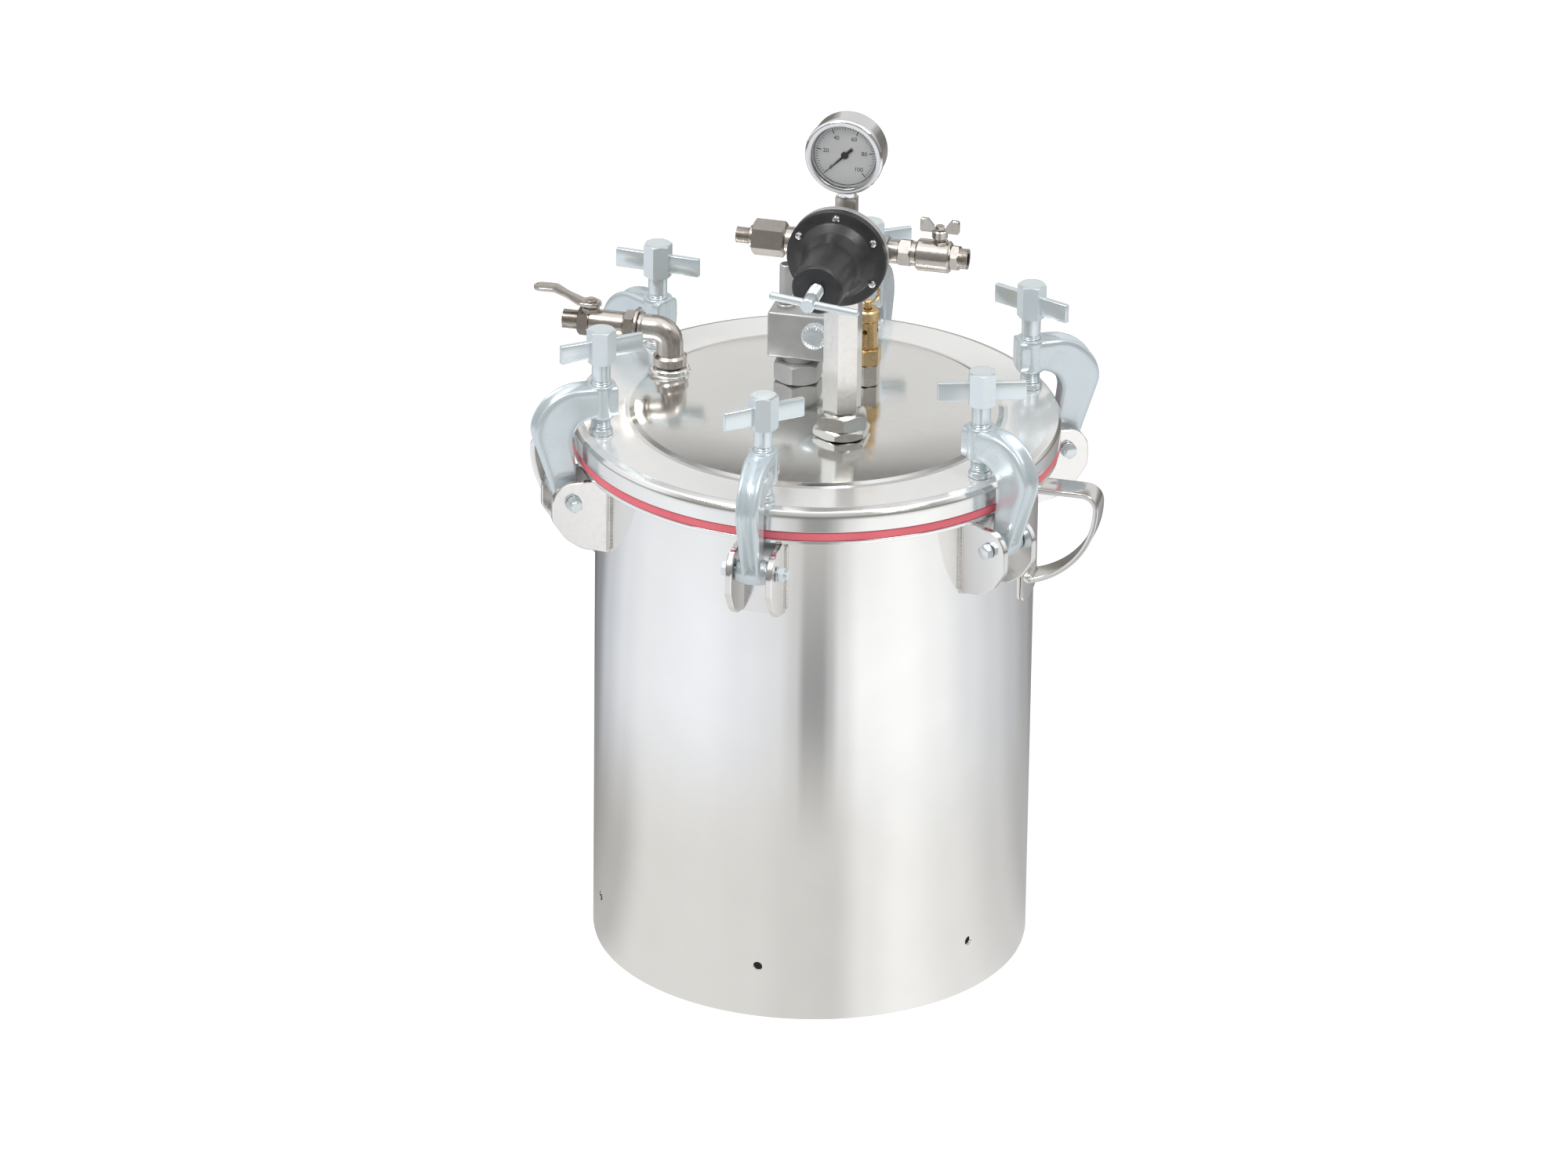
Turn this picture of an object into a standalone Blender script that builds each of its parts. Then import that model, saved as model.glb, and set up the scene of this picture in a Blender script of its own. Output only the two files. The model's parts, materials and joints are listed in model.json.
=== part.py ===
"""Ten-gallon stainless pressure-feed tank: shell, clamped lid, regulator, gauge and valves.

Metres, +Z up. The origin is the centre of the base ring, the carry handles lie on the X axis and
the regulator and the gauge face -Y.
"""

import math

import bmesh
import bpy
from mathutils import Matrix, Vector

NAME = "pressure_feed_tank"
GAP = 0.0003  # clearance between pieces that touch

# Tank
TANK_R = 0.180
TANK_TOP = 0.440
TANK_WALL = 0.0025
FLANGE_R = 0.199
DRAIN_HOLE_R = 0.004
DRAIN_HOLE_Z = 0.046
HEAD_R = TANK_R - TANK_WALL - GAP

# Lid and its seal
LID_R = 0.200
LID_RIM_Z = 0.4665  # flat annulus that the clamps press on
LID_TOP = 0.4735
SEAL_Z = (TANK_TOP + GAP, TANK_TOP + GAP + 0.007)
LID_BOTTOM = SEAL_Z[1] + GAP
ON_LID = LID_TOP + GAP

# Clamps, each in a frame of its own: X outwards, Z up
CLAMP_ANGLES = (-90, -30, 30, 90, 150, 210)
T_BAR_ANGLES = (41.4, 18.4, -23.6, 33.4, -4.6, 38.4)
PIVOT = (0.210, 0.415)
EAR_R = 0.0175
ARM_EYE_R = 0.011
ARM_OUT = 0.240
PIN_R = 0.004
SCREW_R = 0.182  # distance of the clamp screws from the tank's axis
ARM_HALF = 0.013
EAR_HALF = 0.020
BRACKET_R = TANK_R + GAP
BRACKET_PLATE = 0.003
BRACKET_Z = (0.367, 0.432)
BOSS_Z = (0.4825, 0.510)

# Carry handles
STRAP_HALF = 0.0125
STRAP_THICK = 0.0045
HANDLE_TOP = 0.421
HANDLE_OUT = 0.2365
HANDLE_FOOT = (0.183, 0.340)

# Lid ports
RISER = (0.034, -0.055)
SAFETY = (0.0305, 0.047)
VENT = (-0.026, 0.042)
FLUID = (-0.132, 0.033)

# Regulator, built about its screw's axis: own Z points to -Y, own Y points up
PORT_BACK = 0.003  # the ports lie behind the regulator's origin
REGULATOR = Vector((RISER[0], RISER[1] - PORT_BACK, 0.638))
REGULATOR_R = 0.025
SIDE_PORT = 0.0365
TOP_PORT = 0.0265
LOW_PORT = 0.030
SOCKET_DEEP = 0.0075
BONNET_R = 0.041
T_BAR_TILT = math.radians(-6)
T_BAR_OFFSET = 0.0045  # the bar has slid to one side in its hole
OUTLET_STEM = 0.0785
VENT_KNOB = (-0.006, 0.5246)

# Gauge
GAUGE = Vector((RISER[0] + 0.0015, RISER[1], 0.7205))
GAUGE_R = 0.032

# Fluid outlet
FLUID_Z = 0.507
ELBOW_R = 0.011
BEND_R = 0.012
FLUID_FACE = -0.161  # where the valve body meets the elbow
FLUID_STEM = -0.199

FINISHES = {  # colour, metallic, roughness
    "stainless": ((0.80, 0.80, 0.78), 1.0, 0.12),
    "zinc": ((0.62, 0.68, 0.71), 0.7, 0.35),
    "nickel": ((0.56, 0.51, 0.47), 1.0, 0.25),
    "brass": ((0.72, 0.52, 0.24), 1.0, 0.28),
    "black_paint": ((0.02, 0.02, 0.022), 0.0, 0.35),
    "red_rubber": ((0.72, 0.08, 0.12), 0.0, 0.60),
    "chrome": ((0.85, 0.86, 0.88), 1.0, 0.08),
    "white_dial": ((0.90, 0.90, 0.90), 0.0, 0.50),
    "black_pointer": ((0.03, 0.03, 0.03), 0.0, 0.45),
    "clear_glass": ((0.95, 0.97, 0.98), 0.0, 0.04),
    "dull_steel": ((0.45, 0.45, 0.44), 1.0, 0.40),
}


def clear_scene():
    for thing in list(bpy.data.objects):
        bpy.data.objects.remove(thing, do_unlink=True)


def collection(name):
    made = bpy.data.collections.new(name)
    bpy.context.scene.collection.children.link(made)
    return made


clear_scene()
PARTS = collection(NAME)
CUTTERS = collection("cutters")


# ---------------------------------------------------------------- modelling helpers


def placed(piece, at=(0, 0, 0), towards=(0, 0, 1)):
    """Puts a piece's origin at a point and points its own Z along a direction, its own Y up if level."""
    piece.location = at
    if tuple(towards) != (0, 0, 1):
        piece.rotation_euler = Vector(towards).to_track_quat("Z", "Y").to_euler()
    return piece


def piece_of(name, mesh):
    piece = bpy.data.objects.new(name, mesh)
    PARTS.objects.link(piece)
    return piece


def from_bmesh(name, shape):
    mesh = bpy.data.meshes.new(name)
    shape.to_mesh(mesh)
    shape.free()
    return piece_of(name, mesh)


def turned(name, profile, steps=20, ring=False):
    """A solid of revolution. Its (radius, height) points run down the outer side."""
    count = len(profile)
    edges = [(i, (i + 1) % count) for i in range(count if ring else count - 1)]
    mesh = bpy.data.meshes.new(name)
    mesh.from_pydata([(radius, 0, height) for radius, height in profile], edges, [])
    piece = piece_of(name, mesh)
    screw = piece.modifiers.new("turn", "SCREW")
    screw.steps = steps
    screw.render_steps = steps
    screw.use_merge_vertices = True
    screw.merge_threshold = 1e-5
    return piece


def prism(name, sides, radius, low, high):
    """An upright prism: radius is to its corners, low and high are heights."""
    shape = bmesh.new()
    middle = Matrix.Translation((0, 0, (low + high) / 2))
    bmesh.ops.create_cone(
        shape, cap_ends=True, segments=sides, radius1=radius, radius2=radius, depth=high - low, matrix=middle
    )
    return from_bmesh(name, shape)


def hexagon(name, across_flats, low, high):
    return prism(name, 6, across_flats / math.sqrt(3), low, high)


def box(name, low, high):
    low, high = Vector(low), Vector(high)
    shape = bmesh.new()
    size = Matrix.Diagonal((*(high - low), 1))
    bmesh.ops.create_cube(shape, size=1, matrix=Matrix.Translation((low + high) / 2) @ size)
    return from_bmesh(name, shape)


def arc(centre, radius, start, end, count):
    """Points on an arc, from one angle in degrees to another."""
    angles = [math.radians(start + (end - start) * i / count) for i in range(count + 1)]
    return [(centre[0] + radius * math.cos(a), centre[1] + radius * math.sin(a)) for a in angles]


def as_mesh(guide):
    """Replaces a curve object with its mesh, welded at the caps and turned to where the curve stood."""
    bpy.context.view_layer.update()
    seen = guide.evaluated_get(bpy.context.evaluated_depsgraph_get())
    mesh = bpy.data.meshes.new_from_object(seen)
    mesh.transform(guide.matrix_world)
    shape = bmesh.new()
    shape.from_mesh(mesh)
    bmesh.ops.remove_doubles(shape, verts=shape.verts, dist=1e-6)
    name = guide.name
    bpy.data.objects.remove(guide)
    bpy.data.meshes.remove(mesh)
    return from_bmesh(name, shape)


def curve(name, points, closed=False):
    """A straight-sided spline through 3D points."""
    data = bpy.data.curves.new(name, "CURVE")
    spline = data.splines.new("POLY")
    spline.points.add(len(points) - 1)
    for knot, point in zip(spline.points, points):
        knot.co = (*point, 1)
    spline.use_cyclic_u = closed
    return piece_of(name, data)


def plate(name, outline, half):
    """A flat outline of (x, z) points, this far to each side along Y."""
    guide = curve(name, [(x, z, 0) for x, z in outline], closed=True)
    guide.data.dimensions = "2D"
    guide.data.fill_mode = "BOTH"
    guide.data.extrude = half
    guide.rotation_euler.x = math.pi / 2
    return as_mesh(guide)


def strap(name, path, half, thickness):
    """A flat strap bent along (x, z) points, this far to each side along Y."""
    guide = curve(name, [(x, z, 0) for x, z in path])
    guide.data.dimensions = "2D"
    guide.data.fill_mode = "NONE"
    guide.data.extrude = half
    guide.rotation_euler.x = math.pi / 2
    piece = as_mesh(guide)
    wall = piece.modifiers.new("thickness", "SOLIDIFY")
    wall.thickness = thickness
    wall.offset = 0
    wall.use_even_offset = True
    return piece


def tube(name, points, radius):
    guide = curve(name, points)
    guide.data.dimensions = "3D"
    guide.data.bevel_depth = radius
    guide.data.bevel_resolution = 3
    guide.data.use_fill_caps = True
    return as_mesh(guide)


def combine(piece, others, operation):
    """Booleans whose tools move with the piece."""
    for other in others:
        step = piece.modifiers.new(other.name, "BOOLEAN")
        step.operation = operation
        step.solver = "EXACT"
        step.object = other
        other.parent = piece
        other.hide_render = True
        other.display_type = "WIRE"
        PARTS.objects.unlink(other)
        CUTTERS.objects.link(other)
    return piece


def join(piece, *others):
    return combine(piece, others, "UNION")


def cut(piece, *others):
    return combine(piece, others, "DIFFERENCE")


def baked(piece):
    """The finished mesh of a piece at the origin, which is removed with its tools."""
    bpy.context.view_layer.update()
    seen = piece.evaluated_get(bpy.context.evaluated_depsgraph_get())
    mesh = bpy.data.meshes.new_from_object(seen)
    for used in [*piece.children_recursive, piece]:
        bpy.data.objects.remove(used)
    return mesh


def finished(piece, finish):
    """Gives a piece a material of its own and smooth round sides."""
    colour, metallic, roughness = FINISHES[finish]
    made = bpy.data.materials.new(f"{piece.name}_{finish}")
    made.use_nodes = True
    shader = made.node_tree.nodes["Principled BSDF"]
    shader.inputs["Base Color"].default_value = (*colour, 1)
    shader.inputs["Metallic"].default_value = metallic
    shader.inputs["Roughness"].default_value = roughness
    made.diffuse_color = (*colour, 1)
    if not piece.data.materials:
        piece.data.materials.append(None)
    piece.material_slots[0].link = "OBJECT"
    piece.material_slots[0].material = made
    piece.data.shade_smooth()
    piece.data.set_sharp_from_angle(angle=math.radians(35))
    return piece


# ---------------------------------------------------------------- tank


def tank_shell():
    inner = TANK_R - TANK_WALL
    profile = [
        (FLANGE_R, TANK_TOP),
        (FLANGE_R, TANK_TOP - 0.0035),
        (TANK_R + 0.004, TANK_TOP - 0.004),
        (TANK_R, TANK_TOP - 0.0075),
        (TANK_R, 0.001),
        (TANK_R - 0.0003, 0),
        (inner, 0),
        (inner, TANK_TOP - 0.002),
        (inner + 0.002, TANK_TOP),
    ]
    shell = turned("tank_shell", profile, steps=64, ring=True)
    for count, angle in enumerate(CLAMP_ANGLES[:3]):
        across = (math.cos(math.radians(angle)), math.sin(math.radians(angle)), 0)
        drill = prism(f"drain_drill_{count}", 12, DRAIN_HOLE_R, -0.2, 0.2)
        cut(shell, placed(drill, (0, 0, DRAIN_HOLE_Z), across))
    finished(shell, "stainless")


def tank_bottom_head():
    outer = [(HEAD_R, 0.0805), (0.172, 0.0675), (0.162, 0.0575), (0.140, 0.0475), (0.100, 0.0335)]
    inner = [(0.100, 0.036), (0.140, 0.050), (0.160, 0.060), (0.170, 0.070), (HEAD_R - TANK_WALL, 0.082)]
    top = 0.092
    profile = [(0, 0.0235), (0.050, 0.0265), *inner, (HEAD_R - TANK_WALL, top), (HEAD_R, top), *outer]
    profile += [(0.050, 0.024), (0, 0.021)]
    finished(turned("tank_bottom_head", profile, steps=40), "dull_steel")


def carry_handle(name, side):
    """A D-shaped strap welded to a curved back plate."""
    plate_low, plate_high, plate_half = 0.325, 0.432, 0.025
    plate_r = (BRACKET_R, BRACKET_R + 0.0025)
    ring = [(plate_r[1], plate_high), (plate_r[1], plate_low), (plate_r[0], plate_low), (plate_r[0], plate_high)]
    back = turned(name, ring, steps=72, ring=True)
    combine(back, [box(f"{name}_width", (0.1, -plate_half, 0.3), (0.2, plate_half, 0.5))], "INTERSECT")
    bend = 0.012
    corner = (HANDLE_OUT - bend, HANDLE_TOP - bend)
    drop = corner[1] - HANDLE_FOOT[1]
    reach = HANDLE_OUT - HANDLE_FOOT[0]
    sweep_r = (reach**2 + drop**2) / (2 * reach)
    sweep = (HANDLE_OUT - sweep_r, corner[1])
    last = -math.degrees(math.asin(drop / sweep_r))
    inside = plate_r[1] - 0.001
    path = [(inside, HANDLE_TOP), *arc(corner, bend, 90, 0, 4), *arc(sweep, sweep_r, 0, last, 7)[1:]]
    path.append((inside, HANDLE_FOOT[1] - 0.0006))
    join(back, strap(f"{name}_strap", path, STRAP_HALF, STRAP_THICK))
    back.rotation_euler.z = 0 if side > 0 else math.pi
    finished(back, "stainless")


# ---------------------------------------------------------------- lid


def lid():
    top = [(0, LID_TOP), (0.082, LID_TOP), (0.112, 0.4722), (0.135, 0.4700), (0.1495, 0.4683), (0.153, 0.4667)]
    rim = [(0.158, LID_RIM_Z), (0.1925, LID_RIM_Z), (0.1965, 0.4653), (0.1992, 0.4622), (LID_R, 0.458)]
    edge = [(LID_R, LID_BOTTOM), (0.188, LID_BOTTOM), (0.1875, 0.460), (0.184, 0.4635), (0.155, 0.4635)]
    under = [(0.150, 0.4648), (0.135, 0.4668), (0.112, 0.4692), (0.082, 0.4705), (0, 0.4705)]
    plate_piece = turned("lid", [*top, *rim, *edge, *under], steps=48)
    join(plate_piece, placed(prism("fluid_boss", 20, 0.016, 0.4660, 0.476), (*FLUID, 0)))
    holes = (("riser_hole", RISER, 0.0115), ("safety_hole", SAFETY, 0.0085), ("vent_hole", VENT, 0.0085))
    for name, at, radius in (*holes, ("fluid_hole", FLUID, 0.0105)):
        cut(plate_piece, placed(prism(name, 20, radius, 0.45, 0.49), (*at, 0)))
    finished(plate_piece, "stainless")


def lid_gasket():
    inner, outer = 0.188, LID_R - GAP
    profile = [(outer, SEAL_Z[1]), (outer, SEAL_Z[0]), (inner, SEAL_Z[0]), (inner, SEAL_Z[1])]
    finished(turned("lid_gasket", profile, steps=48, ring=True), "red_rubber")


# ---------------------------------------------------------------- clamps


def bracket_mesh():
    """Two ears on a back plate that fits round the tank."""
    low, high = BRACKET_Z
    heel = [(0.2275, 0.4000), (0.2240, 0.3925), (0.2165, 0.3840), (0.2060, 0.3755), (0.1930, 0.3695), (0.184, low)]
    outline = [(0.170, high), (0.200, high), *arc(PIVOT, EAR_R, 80, 0, 6), *heel, (0.170, low)]
    ears = plate("bracket", outline, EAR_HALF)
    slot_half = ARM_HALF + 2 * GAP
    slot = box("bracket_slot", (BRACKET_R + BRACKET_PLATE, -slot_half, low - 0.01), (0.23, slot_half, high + 0.01))
    tank = prism("bracket_seat", 96, BRACKET_R / math.cos(math.pi / 96), low - 0.01, high + 0.01)
    bore = placed(prism("bracket_bore", 16, PIN_R + GAP, -0.03, 0.03), (PIVOT[0], 0, PIVOT[1]), (0, 1, 0))
    return baked(cut(ears, slot, tank, bore))


def pin_mesh():
    """A pivot bolt with its nut, along its own Z."""
    shank = turned("pin", [(0, 0.0285), (PIN_R, 0.0285), (PIN_R, -0.0235), (0, -0.0235)], steps=12)
    face = EAR_HALF + GAP
    join(shank, hexagon("pin_head", 0.011, -face - 0.005, -face), hexagon("pin_nut", 0.011, face, face + 0.006))
    return baked(shank)


def arm_mesh():
    """The swinging C-shaped arm, with its origin at the pivot."""
    outer = arc((ARM_OUT - 0.039, BOSS_Z[1] - 0.039), 0.039, 90, 0, 7)
    eye = arc(PIVOT, ARM_EYE_R, -10, -230, 11)
    inner = arc((0.188, BOSS_Z[0] - 0.019), 0.019, 0, 90, 5)
    outline = [(0.170, BOSS_Z[1]), *outer, *eye, *inner, (0.170, BOSS_Z[0])]
    arm = plate("arm", [(x - PIVOT[0], z - PIVOT[1]) for x, z in outline], ARM_HALF)
    bore = placed(prism("arm_bore", 16, PIN_R + GAP, -0.02, 0.02), towards=(0, 1, 0))
    thread = placed(prism("arm_thread", 16, 0.0083, 0.06, 0.12), (SCREW_R - PIVOT[0], 0, 0))
    return baked(cut(arm, bore, thread))


def pad_mesh():
    """The swivel foot under a clamp screw, with its origin on the lid's rim."""
    low, high, socket, floor = GAP, 0.0053, 0.0048, 0.0023
    profile = [(0, floor), (socket, floor), (socket, high), (0.0088, high), (0.010, high - 0.0012)]
    return baked(turned("pad", [*profile, (0.010, low), (0, low)], steps=16))


def screw_mesh():
    """A clamp screw with its hexagonal head and flat T bar, with its origin on the lid's rim."""
    neck, thread, shoulder, top = 0.0045, 0.0080, 0.0056, 0.0915
    profile = [(0, top - 0.010), (thread, top - 0.010), (thread, shoulder + 0.001), (0.0062, shoulder)]
    profile += [(neck, shoulder), (neck, 0.0026), (0, 0.0026)]
    screw = turned("screw", profile, steps=16)
    bar = box("bar", (-0.036, -0.0025, 0.0665), (0.036, 0.0025, 0.0825))
    return baked(join(screw, hexagon("head", 0.021, 0.0625, top), bar))


def clamps():
    meshes = {
        "bracket": (bracket_mesh(), "zinc", (0, 0, 0), (0, 0, 1)),
        "pivot_pin": (pin_mesh(), "zinc", (PIVOT[0], 0, PIVOT[1]), (0, 1, 0)),
        "arm": (arm_mesh(), "zinc", (PIVOT[0], 0, PIVOT[1]), (0, 0, 1)),
        "pad": (pad_mesh(), "zinc", (SCREW_R, 0, LID_RIM_Z), (0, 0, 1)),
        "tscrew": (screw_mesh(), "zinc", (SCREW_R, 0, LID_RIM_Z), (0, 0, 1)),
    }
    for number, (angle, bar_angle) in enumerate(zip(CLAMP_ANGLES, T_BAR_ANGLES), start=1):
        frame = bpy.data.objects.new(f"clamp_{number}", None)
        PARTS.objects.link(frame)
        frame.rotation_euler.z = math.radians(angle)
        for part, (mesh, finish, at, towards) in meshes.items():
            piece = placed(piece_of(f"clamp_{part}_{number}", mesh), at, towards)
            piece.parent = frame
            if part == "tscrew":
                piece.rotation_euler.z = math.radians(bar_angle - angle)
            finished(piece, finish)


# ---------------------------------------------------------------- riser and regulator


def riser():
    bore, spigot, neck = 0.006, 0.011, 0.009
    neck_low, neck_top = 0.592, REGULATOR.z - LOW_PORT + 0.0065
    core = [(0, neck_top), (neck, neck_top), (neck, neck_low), (spigot, neck_low), (spigot, 0.454), (0, 0.454)]
    post = join(turned("riser_post", core), hexagon("riser_hex", 0.028, 0.4945, 0.595))
    cut(post, prism("riser_bore", 12, bore, 0.44, 0.63))
    finished(placed(post, (*RISER, 0)), "nickel")

    base = hexagon("riser_locknut", 0.042, ON_LID, 0.4815)
    top = hexagon("riser_top_nut", 0.039, 0.480, 0.494)
    top.rotation_euler.z = math.radians(18)
    cut(join(base, top), prism("riser_nut_bore", 20, spigot + GAP, 0.46, 0.51))
    finished(placed(base, (*RISER, 0)), "nickel")


def at_regulator(piece):
    return placed(piece, REGULATOR, (0, -1, 0))


def regulator_body():
    front, shelf, back = 0.018, 0.012, -0.022
    profile = [(0, front), (BONNET_R, front), (BONNET_R, shelf), (REGULATOR_R, shelf)]
    profile += [(REGULATOR_R, back + 0.004), (REGULATOR_R - 0.004, back), (0.018, back), (0.018, back - 0.011)]
    profile += [(0.016, back - 0.013), (0, back - 0.013)]
    body = turned("regulator_body", profile, steps=24)
    sides = placed(prism("side_ports", 20, 0.0125, -SIDE_PORT, SIDE_PORT), (0, 0, -PORT_BACK), (1, 0, 0))
    low = placed(prism("low_port", 20, 0.0135, 0.010, LOW_PORT), (0, 0, -PORT_BACK), (0, -1, 0))
    offset = GAUGE.x - REGULATOR.x
    high = placed(prism("high_port", 20, 0.0115, 0.010, TOP_PORT), (offset, 0, -PORT_BACK), (0, 1, 0))
    join(body, sides, low, high)
    ports = (
        ("right_socket", 0.0088, SIDE_PORT, 0, (1, 0, 0)),
        ("left_socket", 0.0088, SIDE_PORT, 0, (-1, 0, 0)),
        ("low_socket", 0.0093, LOW_PORT, 0, (0, -1, 0)),
        ("high_socket", 0.0069, TOP_PORT, offset, (0, 1, 0)),
    )
    for name, radius, end, x, towards in ports:
        tool = prism(name, 16, radius, end - SOCKET_DEEP - GAP, end + 0.01)
        cut(body, placed(tool, (x, 0, -PORT_BACK), towards))
    finished(at_regulator(body), "dull_steel")


def regulator_bonnet():
    back, end, bore = 0.0183, 0.091, 0.0065
    outside = [(bore, end), (0.0195, end), (0.0210, end - 0.0015), (0.0215, 0.062), (0.0225, 0.046)]
    outside += [(0.0255, 0.036), (0.0310, 0.0285), (0.0345, 0.0253), (BONNET_R, 0.0253), (BONNET_R, back)]
    inside = [(0.0285, back), (0.0285, 0.0245), (0.0225, 0.034), (0.0195, 0.046), (0.0182, 0.062)]
    inside += [(0.0182, end - 0.003), (bore, end - 0.003)]
    finished(at_regulator(turned("regulator_bonnet", [*outside, *inside], steps=28, ring=True)), "black_paint")


def regulator_adjuster():
    """The spring button, the adjusting screw and its T bar."""
    button = [(0, 0.0775), (0.013, 0.0775), (0.014, 0.0765), (0.014, 0.0735), (0, 0.0735)]
    finished(at_regulator(turned("regulator_spring_button", button)), "dull_steel")
    bar_at, radius = 0.117, 0.0033
    along = (math.cos(T_BAR_TILT), math.sin(T_BAR_TILT), 0)
    shank = [(0, 0.1235), (0.0048, 0.1235), (0.006, 0.1223), (0.006, 0.079), (0.005, 0.0778), (0, 0.0778)]
    screw = turned("regulator_screw", shank)
    cut(screw, placed(prism("bar_bore", 12, radius + GAP, -0.02, 0.02), (0, 0, bar_at), along))
    finished(at_regulator(screw), "zinc")
    half = 0.037
    profile = [(0, half), (0.0022, half), (radius, half - 0.0011), (radius, 0.0011 - half), (0.0022, -half)]
    bar = turned("regulator_tbar", [*profile, (0, -half)], steps=12)
    towards = (along[0], 0, along[1])
    middle = REGULATOR + Vector((0, -bar_at, 0)) + T_BAR_OFFSET * Vector(towards)
    finished(placed(bar, middle, towards), "zinc")


# ---------------------------------------------------------------- gauge


def gauge():
    adapter_low = REGULATOR.z + TOP_PORT + GAP
    adapter_top = adapter_low + 0.0172
    top, low = adapter_low + 0.010, adapter_low - SOCKET_DEEP
    spigot = turned("gauge_adapter", [(0, top), (0.0066, top), (0.0066, low), (0, low)], steps=16)
    join(spigot, hexagon("adapter_hex", 0.017, adapter_low, adapter_top))
    cut(spigot, prism("adapter_socket", 16, 0.0053, adapter_top - SOCKET_DEEP, adapter_top + 0.01))
    finished(placed(spigot, (GAUGE.x, GAUGE.y, 0)), "nickel")

    inner, lip, front, back = 0.0283, 0.0265, 0.0145, -0.014
    cup = [(0, back + 0.002), (inner, back + 0.002), (inner, front - 0.0015), (lip, front - 0.0015), (lip, front)]
    cup += [(GAUGE_R - 0.001, front), (GAUGE_R, front - 0.001), (GAUGE_R, back + 0.002), (0.030, back), (0, back)]
    case = turned("gauge_case", cup, steps=40)
    reach = GAUGE.z - adapter_top
    stem = placed(hexagon("stem_hex", 0.014, 0.030, reach - GAP), towards=(0, -1, 0))
    tip = placed(prism("stem_tip", 16, 0.005, 0.035, reach + 0.007), towards=(0, -1, 0))
    join(case, stem, tip)
    finished(placed(case, GAUGE, (0, -1, 0)), "chrome")

    dial = [(0, 0.0085), (0.0279, 0.0085), (0.0279, 0.0077), (0, 0.0077)]
    finished(placed(turned("gauge_dial", dial, steps=40), GAUGE, (0, -1, 0)), "white_dial")
    lens = [(0, 0.0127), (0.0280, 0.0127), (0.0280, 0.0113), (0, 0.0113)]
    finished(placed(turned("gauge_lens", lens, steps=40), GAUGE, (0, -1, 0)), "clear_glass")

    low, high = 0.0089, 0.0097
    needle = box("gauge_pointer", (-0.0009, -0.007, low), (0.0009, 0.021, high))
    join(needle, prism("pointer_hub", 16, 0.003, low - 0.0001, high + 0.0006))
    placed(needle, GAUGE, (0, -1, 0))
    needle.rotation_euler.rotate_axis("Z", math.radians(135))
    finished(needle, "black_pointer")


# ---------------------------------------------------------------- air fittings on the regulator's sides


def air_inlet_fitting():
    face, bore = SIDE_PORT + GAP, 0.004
    spigot = face - SOCKET_DEEP
    core = [(0, 0.0887), (0.0066, 0.0887), (0.0066, 0.078), (0.0110, 0.0750), (0.0110, face), (0.0085, face)]
    fitting = turned("air_inlet_fitting", [*core, (0.0085, spigot), (0, spigot)])
    join(fitting, hexagon("inlet_hex", 0.026, 0.0480, 0.0745))
    cut(fitting, prism("inlet_bore", 12, bore, 0, 0.1))
    finished(placed(fitting, REGULATOR + Vector((0, PORT_BACK, 0)), (-1, 0, 0)), "nickel")


def air_outlet_valve():
    face, bore = SIDE_PORT + GAP, 0.005
    spigot = face - SOCKET_DEEP
    core = [(0, 0.1021), (0.0085, 0.1021), (0.0085, 0.0920), (0.013, 0.0895), (0.013, 0.0605), (0.0098, 0.056)]
    core += [(0.0098, face), (0.0085, face), (0.0085, spigot), (0, spigot)]
    body = turned("air_outlet_valve_body", core)
    nuts = (hexagon("outlet_nut", 0.0205, 0.0460, 0.0560), hexagon("outlet_end_nut", 0.0190, 0.0885, 0.0955))
    stem = placed(prism("outlet_stem", 12, 0.0045, 0.0075, 0.0157), (0, 0, OUTLET_STEM), (0, 1, 0))
    join(body, *nuts, stem)
    cut(body, prism("outlet_bore", 12, bore, 0, 0.12))
    centre = REGULATOR + Vector((0, PORT_BACK, 0))
    finished(placed(body, centre, (1, 0, 0)), "nickel")

    low = 0.0160
    grip = [(-0.016, low + 0.005), (-0.016, low + 0.0150), (-0.0115, low + 0.0165), (-0.005, low + 0.0065)]
    outline = [*grip, *[(-x, z) for x, z in reversed(grip)]]
    handle = plate("air_outlet_valve_handle", outline, 0.0022)
    join(handle, prism("handle_hub", 12, 0.0065, low, low + 0.0085))
    stands = bpy.data.objects.new("air_outlet_valve_axis", None)
    PARTS.objects.link(stands)
    stands.location = centre + Vector((OUTLET_STEM, 0, 0))
    handle.parent = stands
    finished(handle, "nickel")


# ---------------------------------------------------------------- safety valve and vent on the lid


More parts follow.
